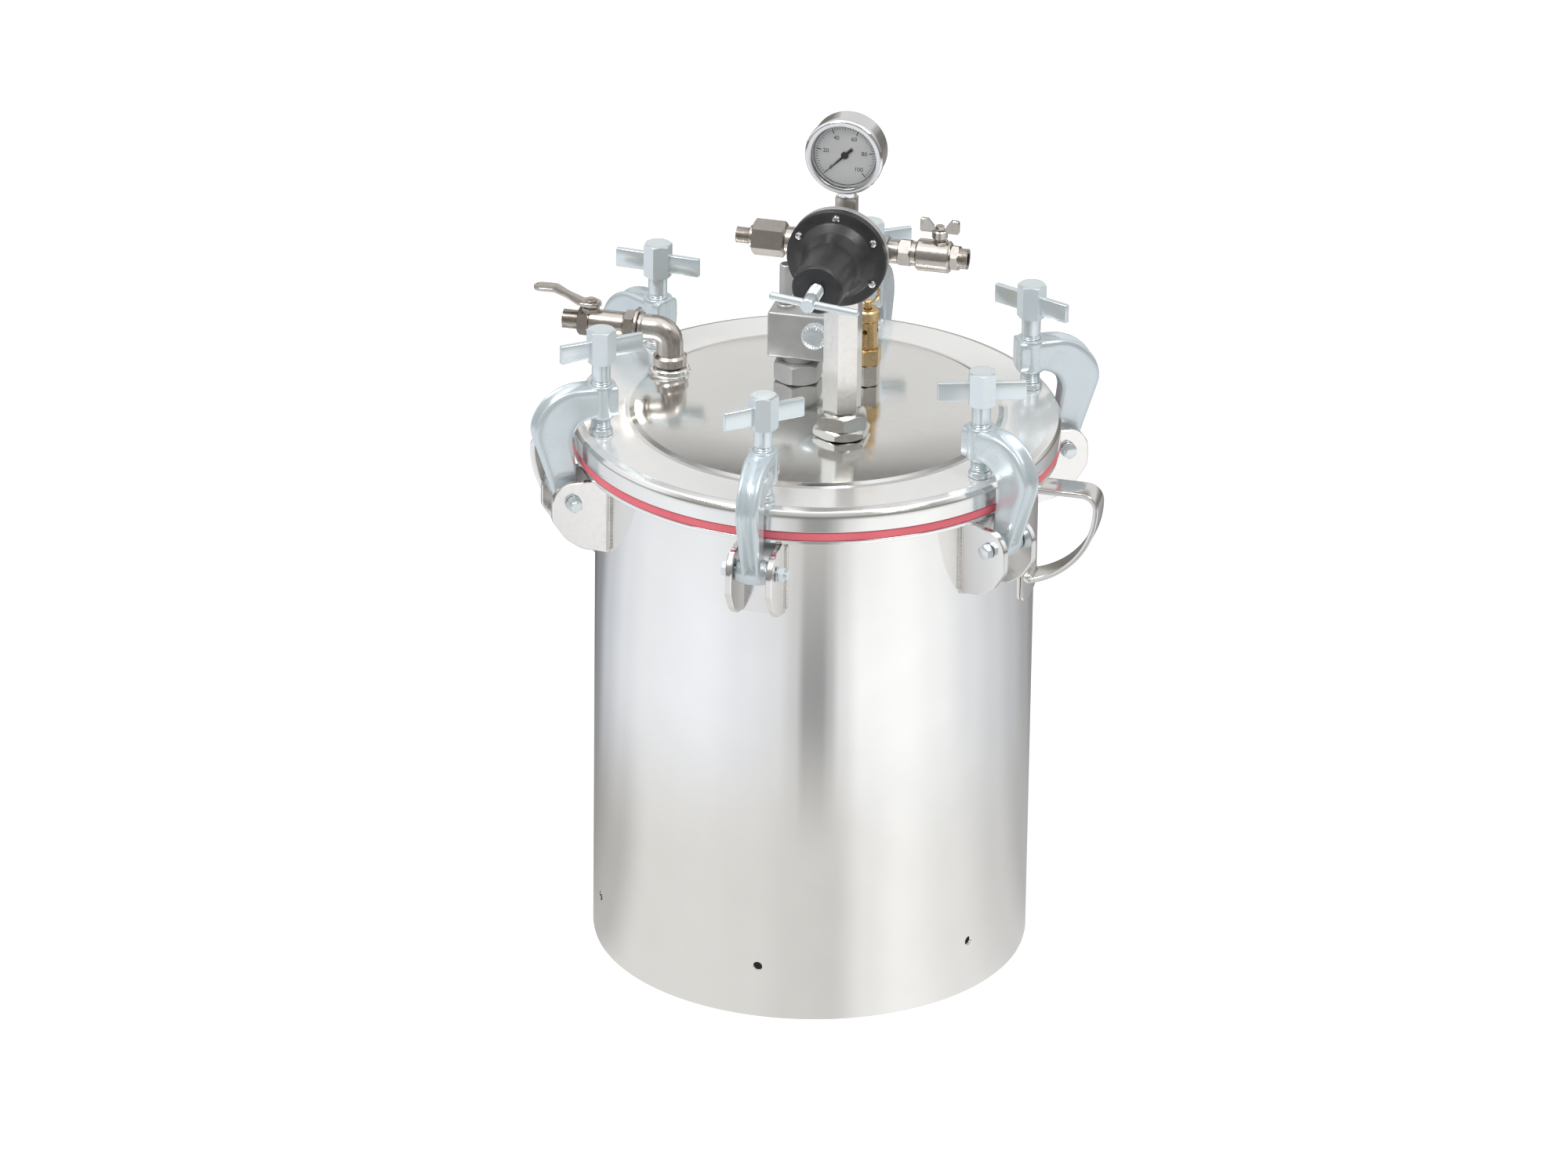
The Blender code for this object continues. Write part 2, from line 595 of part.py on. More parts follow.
def safety_valve():
    nut_top = 0.4920
    nipple = hexagon("safety_valve_nipple", 0.019, ON_LID, nut_top)
    join(nipple, prism("nipple_spigot", 16, 0.008, 0.462, 0.482))
    socket = prism("nipple_socket", 16, 0.0069, nut_top - SOCKET_DEEP, nut_top + 0.01)
    cut(nipple, socket, prism("nipple_bore", 12, 0.0035, 0.45, 0.50))
    finished(placed(nipple, (*SAFETY, 0)), "dull_steel")

    floor, top, bore, foot = 0.5145, 0.540, 0.0035, nut_top + GAP - SOCKET_DEEP
    profile = [(0, floor), (bore, floor), (bore, top), (0.0080, top), (0.0100, 0.538), (0.0100, 0.533)]
    profile += [(0.0090, 0.531), (0.0090, 0.500), (0.0066, 0.500), (0.0066, foot), (0, foot)]
    body = turned("safety_valve_body", profile, steps=20)
    join(body, hexagon("safety_hex", 0.021, nut_top + GAP, 0.506))
    cut(body, placed(prism("safety_vent", 12, 0.0022, -0.02, 0.02), (0, 0, 0.522), (1, 0, 0)))
    finished(placed(body, (*SAFETY, 0)), "brass")

    pin_top, ring_r, wire = 0.547, 0.009, 0.0013
    stem = turned("safety_valve_ring", [(0, pin_top), (0.003, pin_top), (0.003, floor + 0.001), (0, floor + 0.001)])
    circle = arc((ring_r, 0), wire, 90, -270, 8)[:-1]
    ring = turned("pull_ring", circle, steps=20, ring=True)
    join(stem, placed(ring, (0, 0, pin_top + ring_r - 0.001), (0, 1, 0)))
    finished(placed(stem, (*SAFETY, 0)), "brass")


def vent_valve():
    low, high = (-0.049, VENT[1] - 0.015), (0.003, VENT[1] + 0.015)
    body = box("vent_valve_body", (*low, 0.496), (*high, 0.536))
    edge = body.modifiers.new("edges", "BEVEL")
    edge.width = 0.002
    edge.segments = 1
    base = placed(hexagon("vent_hex", 0.036, ON_LID, 0.491), (*VENT, 0))
    neck = placed(prism("vent_neck", 20, 0.0135, 0.482, 0.502), (*VENT, 0))
    spigot = placed(prism("vent_spigot", 20, 0.008, 0.462, 0.482), (*VENT, 0))
    pipe = placed(prism("vent_pipe", 16, 0.0055, 0.526, 0.574), (-0.037, VENT[1], 0))
    face = low[1]
    bonnet = placed(prism("vent_bonnet", 12, 0.0065, -0.005, 0.0065), (VENT_KNOB[0], face, VENT_KNOB[1]), (0, -1, 0))
    join(body, base, neck, spigot, pipe, bonnet)
    finished(body, "dull_steel")

    start = 0.0065 + GAP
    grip = [(0, start + 0.0115), (0.0085, start + 0.0115), (0.011, start + 0.009), (0.011, start + 0.0025)]
    grip += [(0.009, start), (0, start)]
    knob = turned("vent_valve_knob", grip)
    finished(placed(knob, (VENT_KNOB[0], face, VENT_KNOB[1]), (0, -1, 0)), "zinc")


# ---------------------------------------------------------------- fluid outlet


def fluid_outlet():
    x, y = FLUID
    bend_centre = (x - BEND_R, FLUID_Z - BEND_R)
    path = [(x, 0.482), *arc(bend_centre, BEND_R, 0, 90, 6), (x - BEND_R - 0.012, FLUID_Z)]
    elbow = tube("fluid_outlet_elbow", [(px, y, pz) for px, pz in path], ELBOW_R)
    collar = placed(prism("elbow_foot", 20, 0.0140, 0.476 + GAP, 0.487), (x, y, 0))
    spigot = placed(prism("elbow_spigot", 20, 0.010, 0.458, 0.487), (x, y, 0))
    mouth = placed(prism("elbow_mouth", 20, 0.016, 0, 0.007), (FLUID_FACE + 0.0073, y, FLUID_Z), (-1, 0, 0))
    join(elbow, collar, spigot, mouth)
    seat = placed(prism("siphon_seat", 20, 0.0088, 0.452, 0.468), (x, y, 0))
    socket = placed(prism("valve_seat", 20, 0.0088, 0, 0.02), (FLUID_FACE + 0.0083, y, FLUID_Z), (-1, 0, 0))
    cut(elbow, seat, socket)
    finished(elbow, "nickel")

    outer, inner = 0.0085, 0.007
    pipe = [(outer, 0.4675), (outer, 0.075), (inner, 0.075), (inner, 0.4675)]
    finished(placed(turned("siphon_tube", pipe, ring=True), (x, y, 0)), "stainless")


def fluid_valve():
    """The body's own Z runs outwards, to -X, from where it meets the elbow."""
    y = FLUID[1]
    bore, end = 0.005, 0.0612
    core = [(0, end), (0.008, end), (0.008, 0.0475), (0.0105, 0.0465), (0.0105, 0.0)]
    core += [(0.0085, 0.0), (0.0085, -SOCKET_DEEP), (0, -SOCKET_DEEP)]
    body = turned("fluid_valve_body", core)
    nuts = (hexagon("valve_nut", 0.0225, 0.0005, 0.0090), hexagon("valve_end_nut", 0.0215, 0.0385, 0.0480))
    out = FLUID_FACE - FLUID_STEM
    stem = placed(prism("valve_stem", 12, 0.0045, 0.008, 0.0145), (0, 0, out), (0, 1, 0))
    join(body, *nuts, stem)
    cut(body, prism("valve_bore", 12, bore, -0.02, 0.07))
    finished(placed(body, (FLUID_FACE, y, FLUID_Z), (-1, 0, 0)), "nickel")

    low, thick = 0.0148, 0.003
    middle = low + thick / 2
    path = [(0.009, middle), (-0.008, middle), (-0.030, middle + 0.0100), (-0.0485, middle + 0.0095)]
    lever = strap("fluid_valve_lever", path, 0.007, thick)
    join(lever, hexagon("lever_nut", 0.010, low + 0.001, low + 0.0060))
    stands = bpy.data.objects.new("fluid_valve_axis", None)
    PARTS.objects.link(stands)
    stands.location = (FLUID_STEM, y, FLUID_Z)
    lever.parent = stands
    finished(lever, "nickel")


def build():
    tank_shell()
    tank_bottom_head()
    carry_handle("carry_handle_right", 1)
    carry_handle("carry_handle_left", -1)
    lid()
    lid_gasket()
    clamps()
    riser()
    regulator_body()
    regulator_bonnet()
    regulator_adjuster()
    gauge()
    air_inlet_fitting()
    air_outlet_valve()
    safety_valve()
    vent_valve()
    fluid_outlet()
    fluid_valve()


build()
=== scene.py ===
"""The looks of a stainless pressure-feed tank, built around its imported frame.

Metres, +Z up. The regulator and the gauge face -Y, and the carry handles lie on the X axis.
"""

import json
import math

import bmesh
import bpy
from mathutils import Matrix, Vector

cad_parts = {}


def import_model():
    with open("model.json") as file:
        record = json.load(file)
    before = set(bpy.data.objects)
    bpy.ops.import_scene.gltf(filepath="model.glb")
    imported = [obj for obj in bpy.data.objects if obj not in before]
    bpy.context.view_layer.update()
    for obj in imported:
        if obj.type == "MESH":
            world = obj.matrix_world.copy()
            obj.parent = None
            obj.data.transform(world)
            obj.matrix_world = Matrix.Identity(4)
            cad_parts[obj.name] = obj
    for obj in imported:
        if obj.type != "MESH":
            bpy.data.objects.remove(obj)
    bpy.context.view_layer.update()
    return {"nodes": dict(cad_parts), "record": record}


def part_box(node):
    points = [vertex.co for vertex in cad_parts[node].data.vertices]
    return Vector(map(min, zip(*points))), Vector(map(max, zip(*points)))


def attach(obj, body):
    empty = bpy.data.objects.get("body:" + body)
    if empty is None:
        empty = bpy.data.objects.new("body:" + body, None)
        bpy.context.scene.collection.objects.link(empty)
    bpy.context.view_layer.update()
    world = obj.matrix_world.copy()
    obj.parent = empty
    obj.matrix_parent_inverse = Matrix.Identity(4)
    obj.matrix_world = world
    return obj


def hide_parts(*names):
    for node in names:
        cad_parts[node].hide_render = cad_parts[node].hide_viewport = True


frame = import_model()

BEHAVIOUR = frame["record"]["behaviour"]
BODY = {node: body for body, nodes in BEHAVIOUR["bodies"].items() for node in nodes}
JOINT = {joint["name"]: joint for joint in BEHAVIOUR["joints"]}


def low(node):
    return Vector(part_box(node)[0])


def high(node):
    return Vector(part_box(node)[1])


def middle(node):
    return (low(node) + high(node)) / 2


GAP = 0.0003  # between a CAD node and the next one

# Tank
TANK_R = 0.18
WALL = 0.0025
TANK_TOP = high("tank_shell").z
FLANGE_R = high("tank_shell").x
DRAIN_HOLE = (0.004, 0.046)  # radius, height

# Lid
LID_R = high("lid").x
LID_RIM_Z = low("clamp_pad_1").z - GAP
LID_TOP = LID_RIM_Z + 0.007
ON_LID = LID_TOP + GAP

# Clamps, in a frame of their own: X outwards, Z up
PIVOT = (math.hypot(*JOINT["clamp_swing_1"]["pos_m"][:2]), JOINT["clamp_swing_1"]["pos_m"][2])
SCREW_R = math.hypot(*JOINT["clamp_turn_1"]["pos_m"][:2])
EAR_R = 0.0175
ARM_EYE_R = 0.011
ARM_OUT = 0.24
BOSS = (0.4825, high("clamp_arm_1").z)
BRACKET_Z = (low("clamp_bracket_1").z, high("clamp_bracket_1").z)
BRACKET_BACK = 0.1785
BRACKET_HEEL = ((0.2275, 0.4, 0.012), (0.2165, 0.3835, 0.02), (0.203, 0.3735, 0.02))
T_BAR_ANGLES = (41.4, 18.4, -23.6, 33.4, -4.6, 38.4)  # one for each clamp, from the X axis

# Air side
RISER = middle("riser_post")
PORT_Z = middle("regulator_body").z
REGULATOR = Vector((RISER.x, RISER.y - 0.003, PORT_Z))
GAUGE = Vector((middle("gauge_dial").x, RISER.y, middle("gauge_dial").z))
BONNET_R = (high("regulator_bonnet").x - low("regulator_bonnet").x) / 2
UP, OUT, FRONT, BACK = Vector((0, 0, 1)), Vector((1, 0, 0)), Vector((0, -1, 0)), Vector((0, 1, 0))

AIM = (0, 0, 0.4)  # the middle of the tank, which the camera and the lights face
VIEW_AZIMUTH = 13.4


# ---- camera


def linked(name, data):
    """A new object in the scene."""
    new = bpy.data.objects.new(name, data)
    bpy.context.scene.collection.objects.link(new)
    return new


def camera():
    """A long lens from the front, a little to the right and well above."""
    azimuth, elevation, distance = math.radians(VIEW_AZIMUTH), math.radians(24.565), 8.534
    level = math.cos(elevation)
    away = Vector((math.sin(azimuth) * level, -math.cos(azimuth) * level, math.sin(elevation)))
    lens = bpy.data.cameras.new("camera")
    lens.lens = 239.7
    lens.sensor_width = 36
    lens.shift_x = -0.0201
    lens.shift_y = -0.0667
    lens.clip_end = 200
    view = linked("camera", lens)
    lean = Matrix.Rotation(0.0144, 4, "Z")
    facing = away.to_track_quat("Z", "Y").to_matrix().to_4x4()
    view.matrix_world = Matrix.Translation(Vector(AIM) + away * distance) @ facing @ lean
    bpy.context.scene.camera = view


# ---- materials


def node_graph(name):
    """A new material, its node tree and its shader."""
    paint = bpy.data.materials.new(name)
    paint.use_nodes = True
    return paint, paint.node_tree, paint.node_tree.nodes["Principled BSDF"]


def put(node, **values):
    """Sets a node's inputs; an underscore in a name stands for a space."""
    for name, value in values.items():
        node.inputs[name.replace("_", " ")].default_value = value
    return node


def noise(tree, scale, stretch=(1, 1, 1)):
    """Noise over a piece's own coordinates, its cells stretched along an axis."""
    place = tree.nodes.new("ShaderNodeTexCoord")
    spread = put(tree.nodes.new("ShaderNodeMapping"), Scale=stretch)
    grain = put(tree.nodes.new("ShaderNodeTexNoise"), Scale=scale, Detail=3.0)
    tree.links.new(place.outputs["Object"], spread.inputs["Vector"])
    tree.links.new(spread.outputs["Vector"], grain.inputs["Vector"])
    return grain.outputs["Fac"]


def span(tree, source, start, end):
    """Turns noise between 0.3 and 0.7 into the values between start and end."""
    scaled = put(tree.nodes.new("ShaderNodeMapRange"), From_Min=0.3, From_Max=0.7, To_Min=start, To_Max=end)
    tree.links.new(source, scaled.inputs["Value"])
    return scaled.outputs["Result"]


def mixer(tree, factor):
    mixed = tree.nodes.new("ShaderNodeMix")
    mixed.data_type = "RGBA"
    tree.links.new(factor, mixed.inputs["Factor"])
    return mixed


def two_tone(tree, source, first, second):
    mixed = mixer(tree, span(tree, source, 0, 1))
    return put(mixed, A=(*first, 1), B=(*second, 1)).outputs["Result"]


def bumped(tree, shader, source, strength):
    bump = put(tree.nodes.new("ShaderNodeBump"), Strength=strength, Distance=0.0004)
    tree.links.new(source, bump.inputs["Height"])
    tree.links.new(bump.outputs["Normal"], shader.inputs["Normal"])


def finish_of(name, tones, metallic, roughness, grain, stretch=(1, 1, 1), bump=0.0, coat=0.0):
    """A metal, paint or rubber: two close tones, and a roughness and a relief that vary with one grain."""
    paint, tree, shader = node_graph(name)
    fine = noise(tree, grain, stretch=stretch)
    broad = noise(tree, grain / 9)
    put(shader, Metallic=metallic, Coat_Weight=coat)
    tree.links.new(two_tone(tree, broad, *tones), shader.inputs["Base Color"])
    tree.links.new(span(tree, fine, *roughness), shader.inputs["Roughness"])
    if bump:
        bumped(tree, shader, fine, bump)
    return paint


def glass(name):
    paint, tree, shader = node_graph(name)
    put(shader, Transmission_Weight=1.0, IOR=1.1)
    tree.links.new(span(tree, noise(tree, 60), 0.0, 0.03), shader.inputs["Roughness"])
    return paint


# Each finish: name, first tone, second tone, metallic, roughness, grain and what is special
METALS_AND_PAINTS = {
    "polished": (
        "polished_stainless", (0.88, 0.88, 0.875), (0.905, 0.905, 0.9), 1.0, (0.05, 0.08), 240,
        {"stretch": (1, 1, 0.04)},
    ),
    "lid": ("polished_lid", (0.86, 0.86, 0.845), (0.885, 0.885, 0.87), 1.0, (0.1, 0.15), 160, {}),
    # the rim: a lighter, less metallic copy of the lid's steel, a painted highlight on the lid's rim band
    "rim": ("rim_painted_highlight", (0.94, 0.94, 0.935), (0.96, 0.96, 0.955), 0.72, (0.15, 0.19), 200, {}),
    "handle": (
        "satin_stainless", (0.84, 0.83, 0.81), (0.88, 0.87, 0.86), 1.0, (0.12, 0.2), 300,
        {"stretch": (1, 0.1, 1), "bump": 0.03},
    ),
    "weld": ("weld_bead", (0.7, 0.68, 0.65), (0.8, 0.78, 0.75), 1.0, (0.22, 0.38), 500, {"bump": 0.15}),
    "casting": (
        "zinc_casting", (0.6, 0.675, 0.715), (0.645, 0.715, 0.75), 0.5, (0.22, 0.28), 60,
        {"bump": 0.02, "coat": 0.2},
    ),
    "plated": (
        "zinc_plate", (0.72, 0.79, 0.825), (0.77, 0.83, 0.86), 0.65, (0.17, 0.25), 110, {"bump": 0.02},
    ),
    "nickel": ("nickel", (0.55, 0.51, 0.47), (0.66, 0.62, 0.575), 1.0, (0.16, 0.28), 260, {"bump": 0.03}),
    "nut": ("bright_nickel", (0.74, 0.73, 0.7), (0.82, 0.81, 0.78), 1.0, (0.1, 0.2), 260, {"bump": 0.03}),
    "brass": ("brass", (0.6, 0.42, 0.2), (0.72, 0.54, 0.3), 1.0, (0.22, 0.34), 300, {"bump": 0.04}),
    "grey": (
        "machined_grey", (0.44, 0.445, 0.44), (0.54, 0.545, 0.54), 0.6, (0.34, 0.46), 350, {"bump": 0.08},
    ),
    "black": (
        "black_paint", (0.018, 0.018, 0.02), (0.035, 0.035, 0.037), 0.0, (0.28, 0.4), 500, {"bump": 0.05},
    ),
    "rubber": ("red_rubber", (0.7, 0.12, 0.155), (0.76, 0.16, 0.2), 0.0, (0.35, 0.5), 300, {"bump": 0.05}),
    "chrome": ("chrome", (0.84, 0.85, 0.87), (0.9, 0.91, 0.92), 1.0, (0.03, 0.07), 120, {}),
    "dial": ("dial_paint", (0.82, 0.83, 0.84), (0.86, 0.87, 0.88), 0.0, (0.4, 0.5), 400, {}),
    "ink": ("dial_ink", (0.02, 0.02, 0.025), (0.05, 0.05, 0.055), 0.0, (0.4, 0.55), 400, {}),
}


def materials():
    done = {}
    for finish, (name, first, second, metallic, roughness, grain, special) in METALS_AND_PAINTS.items():
        done[finish] = finish_of(name, (first, second), metallic, roughness, grain, **special)
    done["glass"] = glass("gauge_glass")
    return done


# ---- shaping

SHARP = math.radians(32)


def made(name, shape, matrix=None):
    """An object from a bmesh, with its normals outwards and its edges sharp where they turn."""
    bmesh.ops.recalc_face_normals(shape, faces=shape.faces)
    mesh = bpy.data.meshes.new(name)
    shape.to_mesh(mesh)
    shape.free()
    mesh.shade_smooth()
    mesh.set_sharp_from_angle(angle=SHARP)
    piece = linked(name, mesh)
    if matrix:
        piece.matrix_world = matrix
    return piece


def frame_at(at=(0, 0, 0), towards=UP, turn=0.0):
    """A matrix whose own Z points along a direction, and whose own Y is up where that is level."""
    spin = Matrix.Rotation(math.radians(turn), 4, "Z")
    if tuple(towards) == (0, 0, 1):
        return Matrix.Translation(at) @ spin
    return Matrix.Translation(at) @ Vector(towards).to_track_quat("Z", "Y").to_matrix().to_4x4() @ spin


def skin(name, rings, matrix=None, loop=False):
    """A closed surface through rings of equally many points, capped at its ends unless the rings close up."""
    shape = bmesh.new()
    rows = [[shape.verts.new(point) for point in ring] for ring in rings]
    following = rows[1:] + rows[:1] if loop else rows[1:]
    for one, other in zip(rows, following):
        for i in range(len(one)):
            j = (i + 1) % len(one)
            shape.faces.new((one[i], one[j], other[j], other[i]))
    if not loop:
        shape.faces.new(rows[0][::-1])
        shape.faces.new(rows[-1])
    return made(name, shape, matrix)


def arc(centre, radius, start, end, count):
    angles = [math.radians(start + (end - start) * i / count) for i in range(count + 1)]
    return [(centre[0] + radius * math.cos(a), centre[1] + radius * math.sin(a)) for a in angles]


def rounded(points, closed=False, count=4):
    """An outline whose corners that have a third value, a radius, become arcs."""
    done = []
    for i, corner in enumerate(points):
        here = Vector(corner[:2])
        if len(corner) < 3 or not closed and i in (0, len(points) - 1):
            done.append(tuple(here))
            continue
        before = Vector(points[i - 1][:2]) - here
        after = Vector(points[(i + 1) % len(points)][:2]) - here
        half = before.angle(after) / 2
        reach = min(corner[2] / math.tan(half), before.length * 0.49, after.length * 0.49)
        first, last = here + before.normalized() * reach, here + after.normalized() * reach
        for step in range(count + 1):
            t = step / count
            done.append(tuple(first.lerp(here, t).lerp(here.lerp(last, t), t)))
    return done


def lathe(name, profile, matrix=None, steps=96, loop=False):
    """A solid of revolution from (radius, height) points; a closed profile makes a ring."""
    turns = [2 * math.pi * i / steps for i in range(steps)]
    outline = rounded(profile, closed=loop)
    rings = [[(r * math.cos(a), r * math.sin(a), z) for a in turns] for r, z in outline]
    return skin(name, rings, matrix, loop)


def hex_radius(across, angle):
    sixth = math.pi / 3
    return across / 2 / math.cos((angle + sixth / 2) % sixth - sixth / 2)


def stack(name, sections, matrix=None, steps=72):
    """One closed piece of round, hexagonal and threaded lengths along Z, which may end in a bore.

    Sections: ("round", radius, start, end, edge), ("hex", across flats, start, end),
    ("thread", radius, start, end, pitch) and ("bore", radius, top, floor).
    """
    turns = [2 * math.pi * i / steps for i in range(steps)]
    rings = []

    def ring(radius_of, height_of):
        rings.append([(radius_of(a) * math.cos(a), radius_of(a) * math.sin(a), height_of(a)) for a in turns])

    for kind, size, start, end, *more in sections:
        if kind == "round":
            edge = more[0] if more else 0.0
            corners = ((size - edge, start), (size, start + edge), (size, end - edge), (size - edge, end))
            for radius, height in corners if edge else corners[1:3]:
                ring(lambda a, r=radius: r, lambda a, z=height: z)
        elif kind == "hex":
            face = 0.485 * size  # the round end face that a 30 degree chamfer leaves
            slope = math.tan(math.radians(30))
            ring(lambda a: face, lambda a: start)
            ring(lambda a: hex_radius(size, a), lambda a: start + (hex_radius(size, a) - face) * slope)
            ring(lambda a: hex_radius(size, a), lambda a: end - (hex_radius(size, a) - face) * slope)
            ring(lambda a: face, lambda a: end)
        elif kind == "thread":
            pitch = more[0]
            count = max(2, round(abs(end - start) / pitch * 6))
            for i in range(count + 1):
                height = start + (end - start) * i / count
                fade = min(1.0, 3 * min(i, count - i) / count * abs(end - start) / pitch)

                def crest(a, z=height, f=fade):
                    wave = abs((z / pitch - a / (2 * math.pi)) % 1 - 0.5) * 2
                    return size - 0.55 * pitch * wave * f

                ring(crest, lambda a, z=height: z)
        elif kind == "bore":
            ring(lambda a: size, lambda a: start)
            ring(lambda a: size, lambda a: end)
    return skin(name, rings, matrix)


def sweep(name, path, section, matrix=None, widths=None):
    """A section of (outwards, across) points along a path of (x, z) points; across is Y."""
    rings = []
    last = len(path) - 1
    for i, (x, z) in enumerate(path):
        before, after = path[max(i - 1, 0)], path[min(i + 1, last)]
        along = Vector((after[0] - before[0], after[1] - before[1])).normalized()
        wide = widths[i] if widths else 1.0
        rings.append([(x - along.y * a, b * wide, z + along.x * a) for a, b in section])
    return skin(name, rings, matrix)


def strap_section(half, thick, edge):
    corners = ((-thick / 2, -half), (thick / 2, -half), (thick / 2, half), (-thick / 2, half))
    return rounded([(*corner, edge) for corner in corners], closed=True, count=3)


def extruded(name, outline, near, far, edge):
    """A flat outline of (x, z) points, from one Y to another, with small bevels round both faces."""
    centre = Vector((sum(p[0] for p in outline), sum(p[1] for p in outline))) / len(outline)

    def shrunk(y):
        ring = []
        for i, point in enumerate(outline):
            here = Vector(point)
            one, other = Vector(outline[i - 1]), Vector(outline[(i + 1) % len(outline)])
            along = (other - one).normalized()
            inwards = Vector((along.y, -along.x))
            if inwards.dot(centre - here) < 0:
                inwards = -inwards
            ring.append((here.x + inwards.x * edge, y, here.y + inwards.y * edge))
        return ring

    flat = [(x, near + edge, z) for x, z in outline]
    other = [(x, far - edge, z) for x, z in outline]
    return skin(name, [shrunk(near), flat, other, shrunk(far)])


def block(name, lowest, highest, edge, matrix=None):
    """A box with rounded edges."""
    lowest, highest = Vector(lowest), Vector(highest)
    shape = bmesh.new()
    size = Matrix.Diagonal((*(highest - lowest), 1))
    bmesh.ops.create_cube(shape, size=1, matrix=Matrix.Translation((lowest + highest) / 2) @ size)
    bmesh.ops.bevel(shape, geom=shape.edges[:], offset=edge, segments=3, profile=0.5, affect="EDGES")
    return made(name, shape, matrix)


def patch(name, half, heights, radii, corner):
    """A curved plate on the tank, facing +X: so far to each side, between two heights and two radii."""
    edge = 0.0005
    count = 16
    r0, r1 = radii
    rings = []
    for i in range(count + 1):
        across = -half * math.cos(math.pi * i / count)
        inset = max(0.0, corner - (half - abs(across)))
        cut = corner - math.sqrt(max(corner**2 - inset**2, 0))
        z0, z1 = heights[0] + cut, heights[1] - cut
        outline = ((r0, z0), (r1 - edge, z0), (r1, z0 + edge), (r1, z1 - edge), (r1 - edge, z1), (r0, z1))
        angle = across / r1
        rings.append([(r * math.cos(angle), r * math.sin(angle), z) for r, z in outline])
    return skin(name, rings)


def bead(name, route, size):
    """A weld bead with even ripples along 3D points."""
    rings = []
    points = [Vector(point) for point in route]
    for i, here in enumerate(points):
        along = (points[min(i + 1, len(points) - 1)] - points[max(i - 1, 0)]).normalized()
        side = along.orthogonal().normalized()
        up = along.cross(side)
        radius = size * (1 + 0.12 * math.sin(i * 2.4))
        if i in (0, len(points) - 1):
            radius *= 0.5
        turns = [2 * math.pi * k / 10 for k in range(10)]
        rings.append([here + (side * math.cos(a) + up * math.sin(a)) * radius for a in turns])
    return skin(name, rings)


def line(start, end, count):
    start, end = Vector(start), Vector(end)
    return [start.lerp(end, i / count) for i in range(count + 1)]


def final_mesh(piece):
    """A mesh of an object as it shows, with its modifiers or its letters' outlines."""
    bpy.context.view_layer.update()
    return bpy.data.meshes.new_from_object(piece.evaluated_get(bpy.context.evaluated_depsgraph_get()))


def modified(piece, kind, **settings):
    """Applies one modifier to a piece's mesh."""
    step = piece.modifiers.new(kind.lower(), kind)
    for key, value in settings.items():
        setattr(step, key, value)
    mesh = final_mesh(piece)
    piece.modifiers.clear()
    piece.data = mesh
    return piece


def cut(piece, *tools):
    for tool in tools:
        modified(piece, "BOOLEAN", operation="DIFFERENCE", solver="EXACT", object=tool)
        bpy.data.objects.remove(tool)
    piece.data.set_sharp_from_angle(angle=SHARP)
    return piece


def merged(name, *pieces, at=None):
    """Several pieces as one object, each with its place in its vertices."""
    shape = bmesh.new()
    for piece in pieces:
        bpy.context.view_layer.update()
        mesh = piece.data.copy()
        mesh.transform(piece.matrix_world)
        shape.from_mesh(mesh)
        bpy.data.objects.remove(piece)
        bpy.data.meshes.remove(mesh)
    return made(name, shape, at)


def dress(piece, node, finish, extra=False):
    """Puts a piece on a CAD node's body and in place of it, unless it is an extra one."""
    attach(piece, BODY[node])
    if not extra:
        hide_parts(node)
    piece.data.materials.clear()
    piece.data.materials.append(FINISH[finish])
    return piece


def refinish(node, finish):
    """Gives a CAD node that stays in view a better material."""
    for holder in frame["nodes"][node].material_slots:
        holder.material = FINISH[finish]


# ---- tank


def tank():
    inner, base = TANK_R - WALL, 0.0004
    profile = [
        (FLANGE_R, TANK_TOP, 0.0008), (FLANGE_R, TANK_TOP - 0.0035, 0.0008),
        (TANK_R + 0.004, TANK_TOP - 0.004), (TANK_R + 0.0012, TANK_TOP - 0.0052),
        (TANK_R, TANK_TOP - 0.0085), (TANK_R, 0.3), (TANK_R, 0.15), (TANK_R, 0.0025, 0.001),
        (TANK_R - 0.0006, 0.0, base), (inner, 0.0, base), (inner, TANK_TOP - 0.002),
        (inner + 0.002, TANK_TOP, 0.001),
    ]
    shell = lathe("shell_look", profile, steps=240, loop=True)
    radius, height = DRAIN_HOLE
    drills = []
    for number in (1, 2, 3):  # each goes through both sides
        long = [(radius, -0.2), (radius, 0.2)]
        place = frame_at((0, 0, height), clamp_direction(number))
        drills.append(lathe(f"drill_{number}", long, place, steps=32))
    cut(shell, *drills)
    dress(shell, "tank_shell", "polished")
    refinish("tank_bottom_head", "lid")


